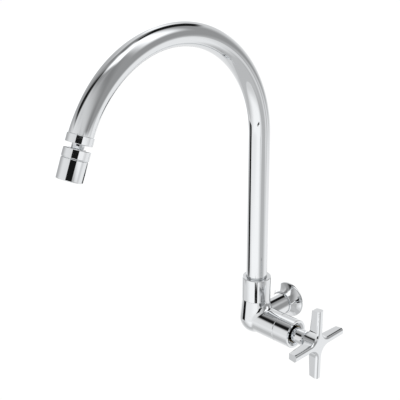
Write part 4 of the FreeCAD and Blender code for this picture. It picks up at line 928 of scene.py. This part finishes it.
def make_world(scene):
    """The studio round the faucet: a white backdrop to the eye, panels and black flags to the chrome."""
    world = bpy.data.worlds.new("studio")
    world.use_nodes = True
    scene.world = world
    tree = world.node_tree
    tree.nodes.clear()
    direction = add_node(tree, "ShaderNodeTexCoord").outputs["Generated"]
    height = add_node(tree, "ShaderNodeSeparateXYZ", inputs={"Vector": direction}).outputs["Z"]
    edge = math.sin(math.radians(HORIZON))
    level = add_node(tree, "ShaderNodeMapRange", {"interpolation_type": "SMOOTHSTEP"}, {
        "Value": height, "From Min": edge - HORIZON_SOFTNESS, "From Max": edge + HORIZON_SOFTNESS,
        "To Min": TABLE, "To Max": SKY,
    })
    group = panel_group()
    for name, azimuth, elevation, roll, width, tall, soft, brightness in STUDIO:
        centre, side, up = panel_axes(azimuth, elevation, roll)
        level = add_node(tree, "ShaderNodeGroup", {"node_tree": group, "label": name}, {
            "Direction": direction, "Behind": level, "Centre": centre, "Side": side, "Up": up,
            "Half Width": math.radians(width / 2), "Half Height": math.radians(tall / 2),
            "Soft Edge": math.radians(soft), "Brightness": brightness,
        })
    eye = add_node(tree, "ShaderNodeLightPath").outputs["Is Camera Ray"]
    shown = add_node(tree, "ShaderNodeMix", {"data_type": "FLOAT"}, {0: eye, 2: level, 3: 1.0})
    background = add_node(tree, "ShaderNodeBackground", inputs={"Color": shown})
    add_node(tree, "ShaderNodeOutputWorld", inputs={"Surface": background})


def make_floor(settings):
    """A plain pale floor that the eye sees white, apart from the faucet's faint shadow."""
    material, tree, _ = new_material("pale studio floor")
    paper = add_node(tree, "ShaderNodeBsdfDiffuse", inputs={"Color": FLOOR_COLOUR})
    glow = add_node(tree, "ShaderNodeEmission", inputs={"Color": (1.0, 1.0, 1.0, 1.0), "Strength": FLOOR_GLOW})
    eye = add_node(tree, "ShaderNodeLightPath").outputs["Is Camera Ray"]
    share = add_node(tree, MATH, MULTIPLY, {0: eye, 1: GLOW_SHARE})
    mixed = add_node(tree, "ShaderNodeMixShader", inputs={0: share, 1: paper, 2: glow})
    add_node(tree, "ShaderNodeOutputMaterial", inputs={"Surface": mixed})
    corners = [(x * FLOOR_HALF, y * FLOOR_HALF, -settings.floor_drop)
               for x, y in ((-1, -1), (1, -1), (1, 1), (-1, 1))]
    mesh = bpy.data.meshes.new("floor")
    mesh.from_pydata(corners, [], [(0, 1, 2, 3)])
    mesh.materials.append(material)
    floor = bpy.data.objects.new("studio_floor", mesh)
    bpy.context.scene.collection.objects.link(floor)
    floor.visible_glossy = False


def make_lamp(settings):
    """One large soft lamp above the faucet."""
    lamp = bpy.data.lights.new("overhead softbox", "AREA")
    lamp.shape = "SQUARE"
    lamp.size = LAMP_SIZE
    lamp.energy = settings.lamp_power
    holder = bpy.data.objects.new("overhead_softbox", lamp)
    holder.location = LAMP_PLACE
    holder.visible_glossy = False
    bpy.context.scene.collection.objects.link(holder)


def make_camera(settings):
    """The photograph's view: from the front right, looking a little down."""
    azimuth, pitch, roll = settings.azimuth, settings.pitch, settings.roll
    right = Vector((math.cos(azimuth), math.sin(azimuth), 0))
    forward = Vector((-math.sin(azimuth) * math.cos(pitch), math.cos(azimuth) * math.cos(pitch), -math.sin(pitch)))
    up = right.cross(forward)
    aim = RISER.translation + Vector((0, 0, settings.aim_height))
    place = aim - forward * settings.distance + right * settings.slide + up * settings.lift
    side = math.cos(roll) * right + math.sin(roll) * up
    above = math.cos(roll) * up - math.sin(roll) * right
    camera = bpy.data.cameras.new("photo camera")
    camera.lens = settings.lens
    camera.sensor_width = SENSOR_WIDTH
    holder = bpy.data.objects.new("photo_camera", camera)
    matrix = Matrix((side, above, -forward)).transposed().to_4x4()
    matrix.translation = place
    holder.matrix_world = matrix
    bpy.context.scene.collection.objects.link(holder)
    bpy.context.scene.camera = holder


# Operators

class FAUCET_OT_finishes(bpy.types.Operator):
    """Make the finishes and give them to the castings and to the pieces inside"""
    bl_idname = "faucet.finishes"
    bl_label = "Finishes"

    def execute(self, context):
        make_finishes(context.scene.faucet_finishes)
        finish_nodes(*frame["nodes"])
        return {"FINISHED"}


class FAUCET_OT_spout_tube(bpy.types.Operator):
    """Sweep the gooseneck tube from the riser to the outlet"""
    bl_idname = "faucet.spout_tube"
    bl_label = "Spout tube"

    def execute(self, context):
        build_spout_tube(context.scene.faucet_sizes)
        return {"FINISHED"}


class FAUCET_OT_covers(bpy.types.Operator):
    """Turn the collar, the barrel's sleeve and the wall flange"""
    bl_idname = "faucet.covers"
    bl_label = "Turned covers"

    def execute(self, context):
        build_covers(context.scene.faucet_sizes)
        return {"FINISHED"}


class FAUCET_OT_aerator(bpy.types.Operator):
    """Turn the outlet nut and the swivel aerator, and weave its screen"""
    bl_idname = "faucet.aerator"
    bl_label = "Swivel aerator"

    def execute(self, context):
        build_aerator(context.scene.faucet_sizes)
        return {"FINISHED"}


class FAUCET_OT_fastenings(bpy.types.Operator):
    """Cut the inlet's pipe thread and make the handle's grub screw"""
    bl_idname = "faucet.fastenings"
    bl_label = "Thread and grub screw"

    def execute(self, context):
        build_thread(context.scene.faucet_sizes)
        build_grub_screw(context.scene.faucet_sizes)
        return {"FINISHED"}


class FAUCET_OT_studio(bpy.types.Operator):
    """Set up the floor, the studio's light and the camera"""
    bl_idname = "faucet.studio"
    bl_label = "Studio"

    def execute(self, context):
        build_studio(context.scene.faucet_studio)
        return {"FINISHED"}


OPERATORS = (FAUCET_OT_finishes, FAUCET_OT_spout_tube, FAUCET_OT_covers, FAUCET_OT_aerator,
             FAUCET_OT_fastenings, FAUCET_OT_studio)


class FAUCET_PT_panel(bpy.types.Panel):
    bl_idname = "FAUCET_PT_panel"
    bl_label = "Faucet"
    bl_space_type = "VIEW_3D"
    bl_region_type = "UI"
    bl_category = "Faucet"

    def draw(self, context):
        for group in (context.scene.faucet_sizes, context.scene.faucet_finishes, context.scene.faucet_studio):
            box = self.layout.box()
            for name in group.__annotations__:
                box.prop(group, name)
        for operator in OPERATORS:
            self.layout.operator(operator.bl_idname)


CLASSES = (FaucetSizes, FaucetFinishes, StudioSettings, *OPERATORS, FAUCET_PT_panel)


def register():
    for made in CLASSES:
        bpy.utils.register_class(made)
    bpy.types.Scene.faucet_sizes = PointerProperty(type=FaucetSizes)
    bpy.types.Scene.faucet_finishes = PointerProperty(type=FaucetFinishes)
    bpy.types.Scene.faucet_studio = PointerProperty(type=StudioSettings)


def unregister():
    del bpy.types.Scene.faucet_studio
    del bpy.types.Scene.faucet_finishes
    del bpy.types.Scene.faucet_sizes
    for made in reversed(CLASSES):
        bpy.utils.unregister_class(made)


def main():
    register()
    bpy.ops.faucet.finishes()
    bpy.ops.faucet.spout_tube()
    bpy.ops.faucet.covers()
    bpy.ops.faucet.aerator()
    bpy.ops.faucet.fastenings()
    bpy.ops.faucet.studio()


if __name__ == "__main__":
    main()
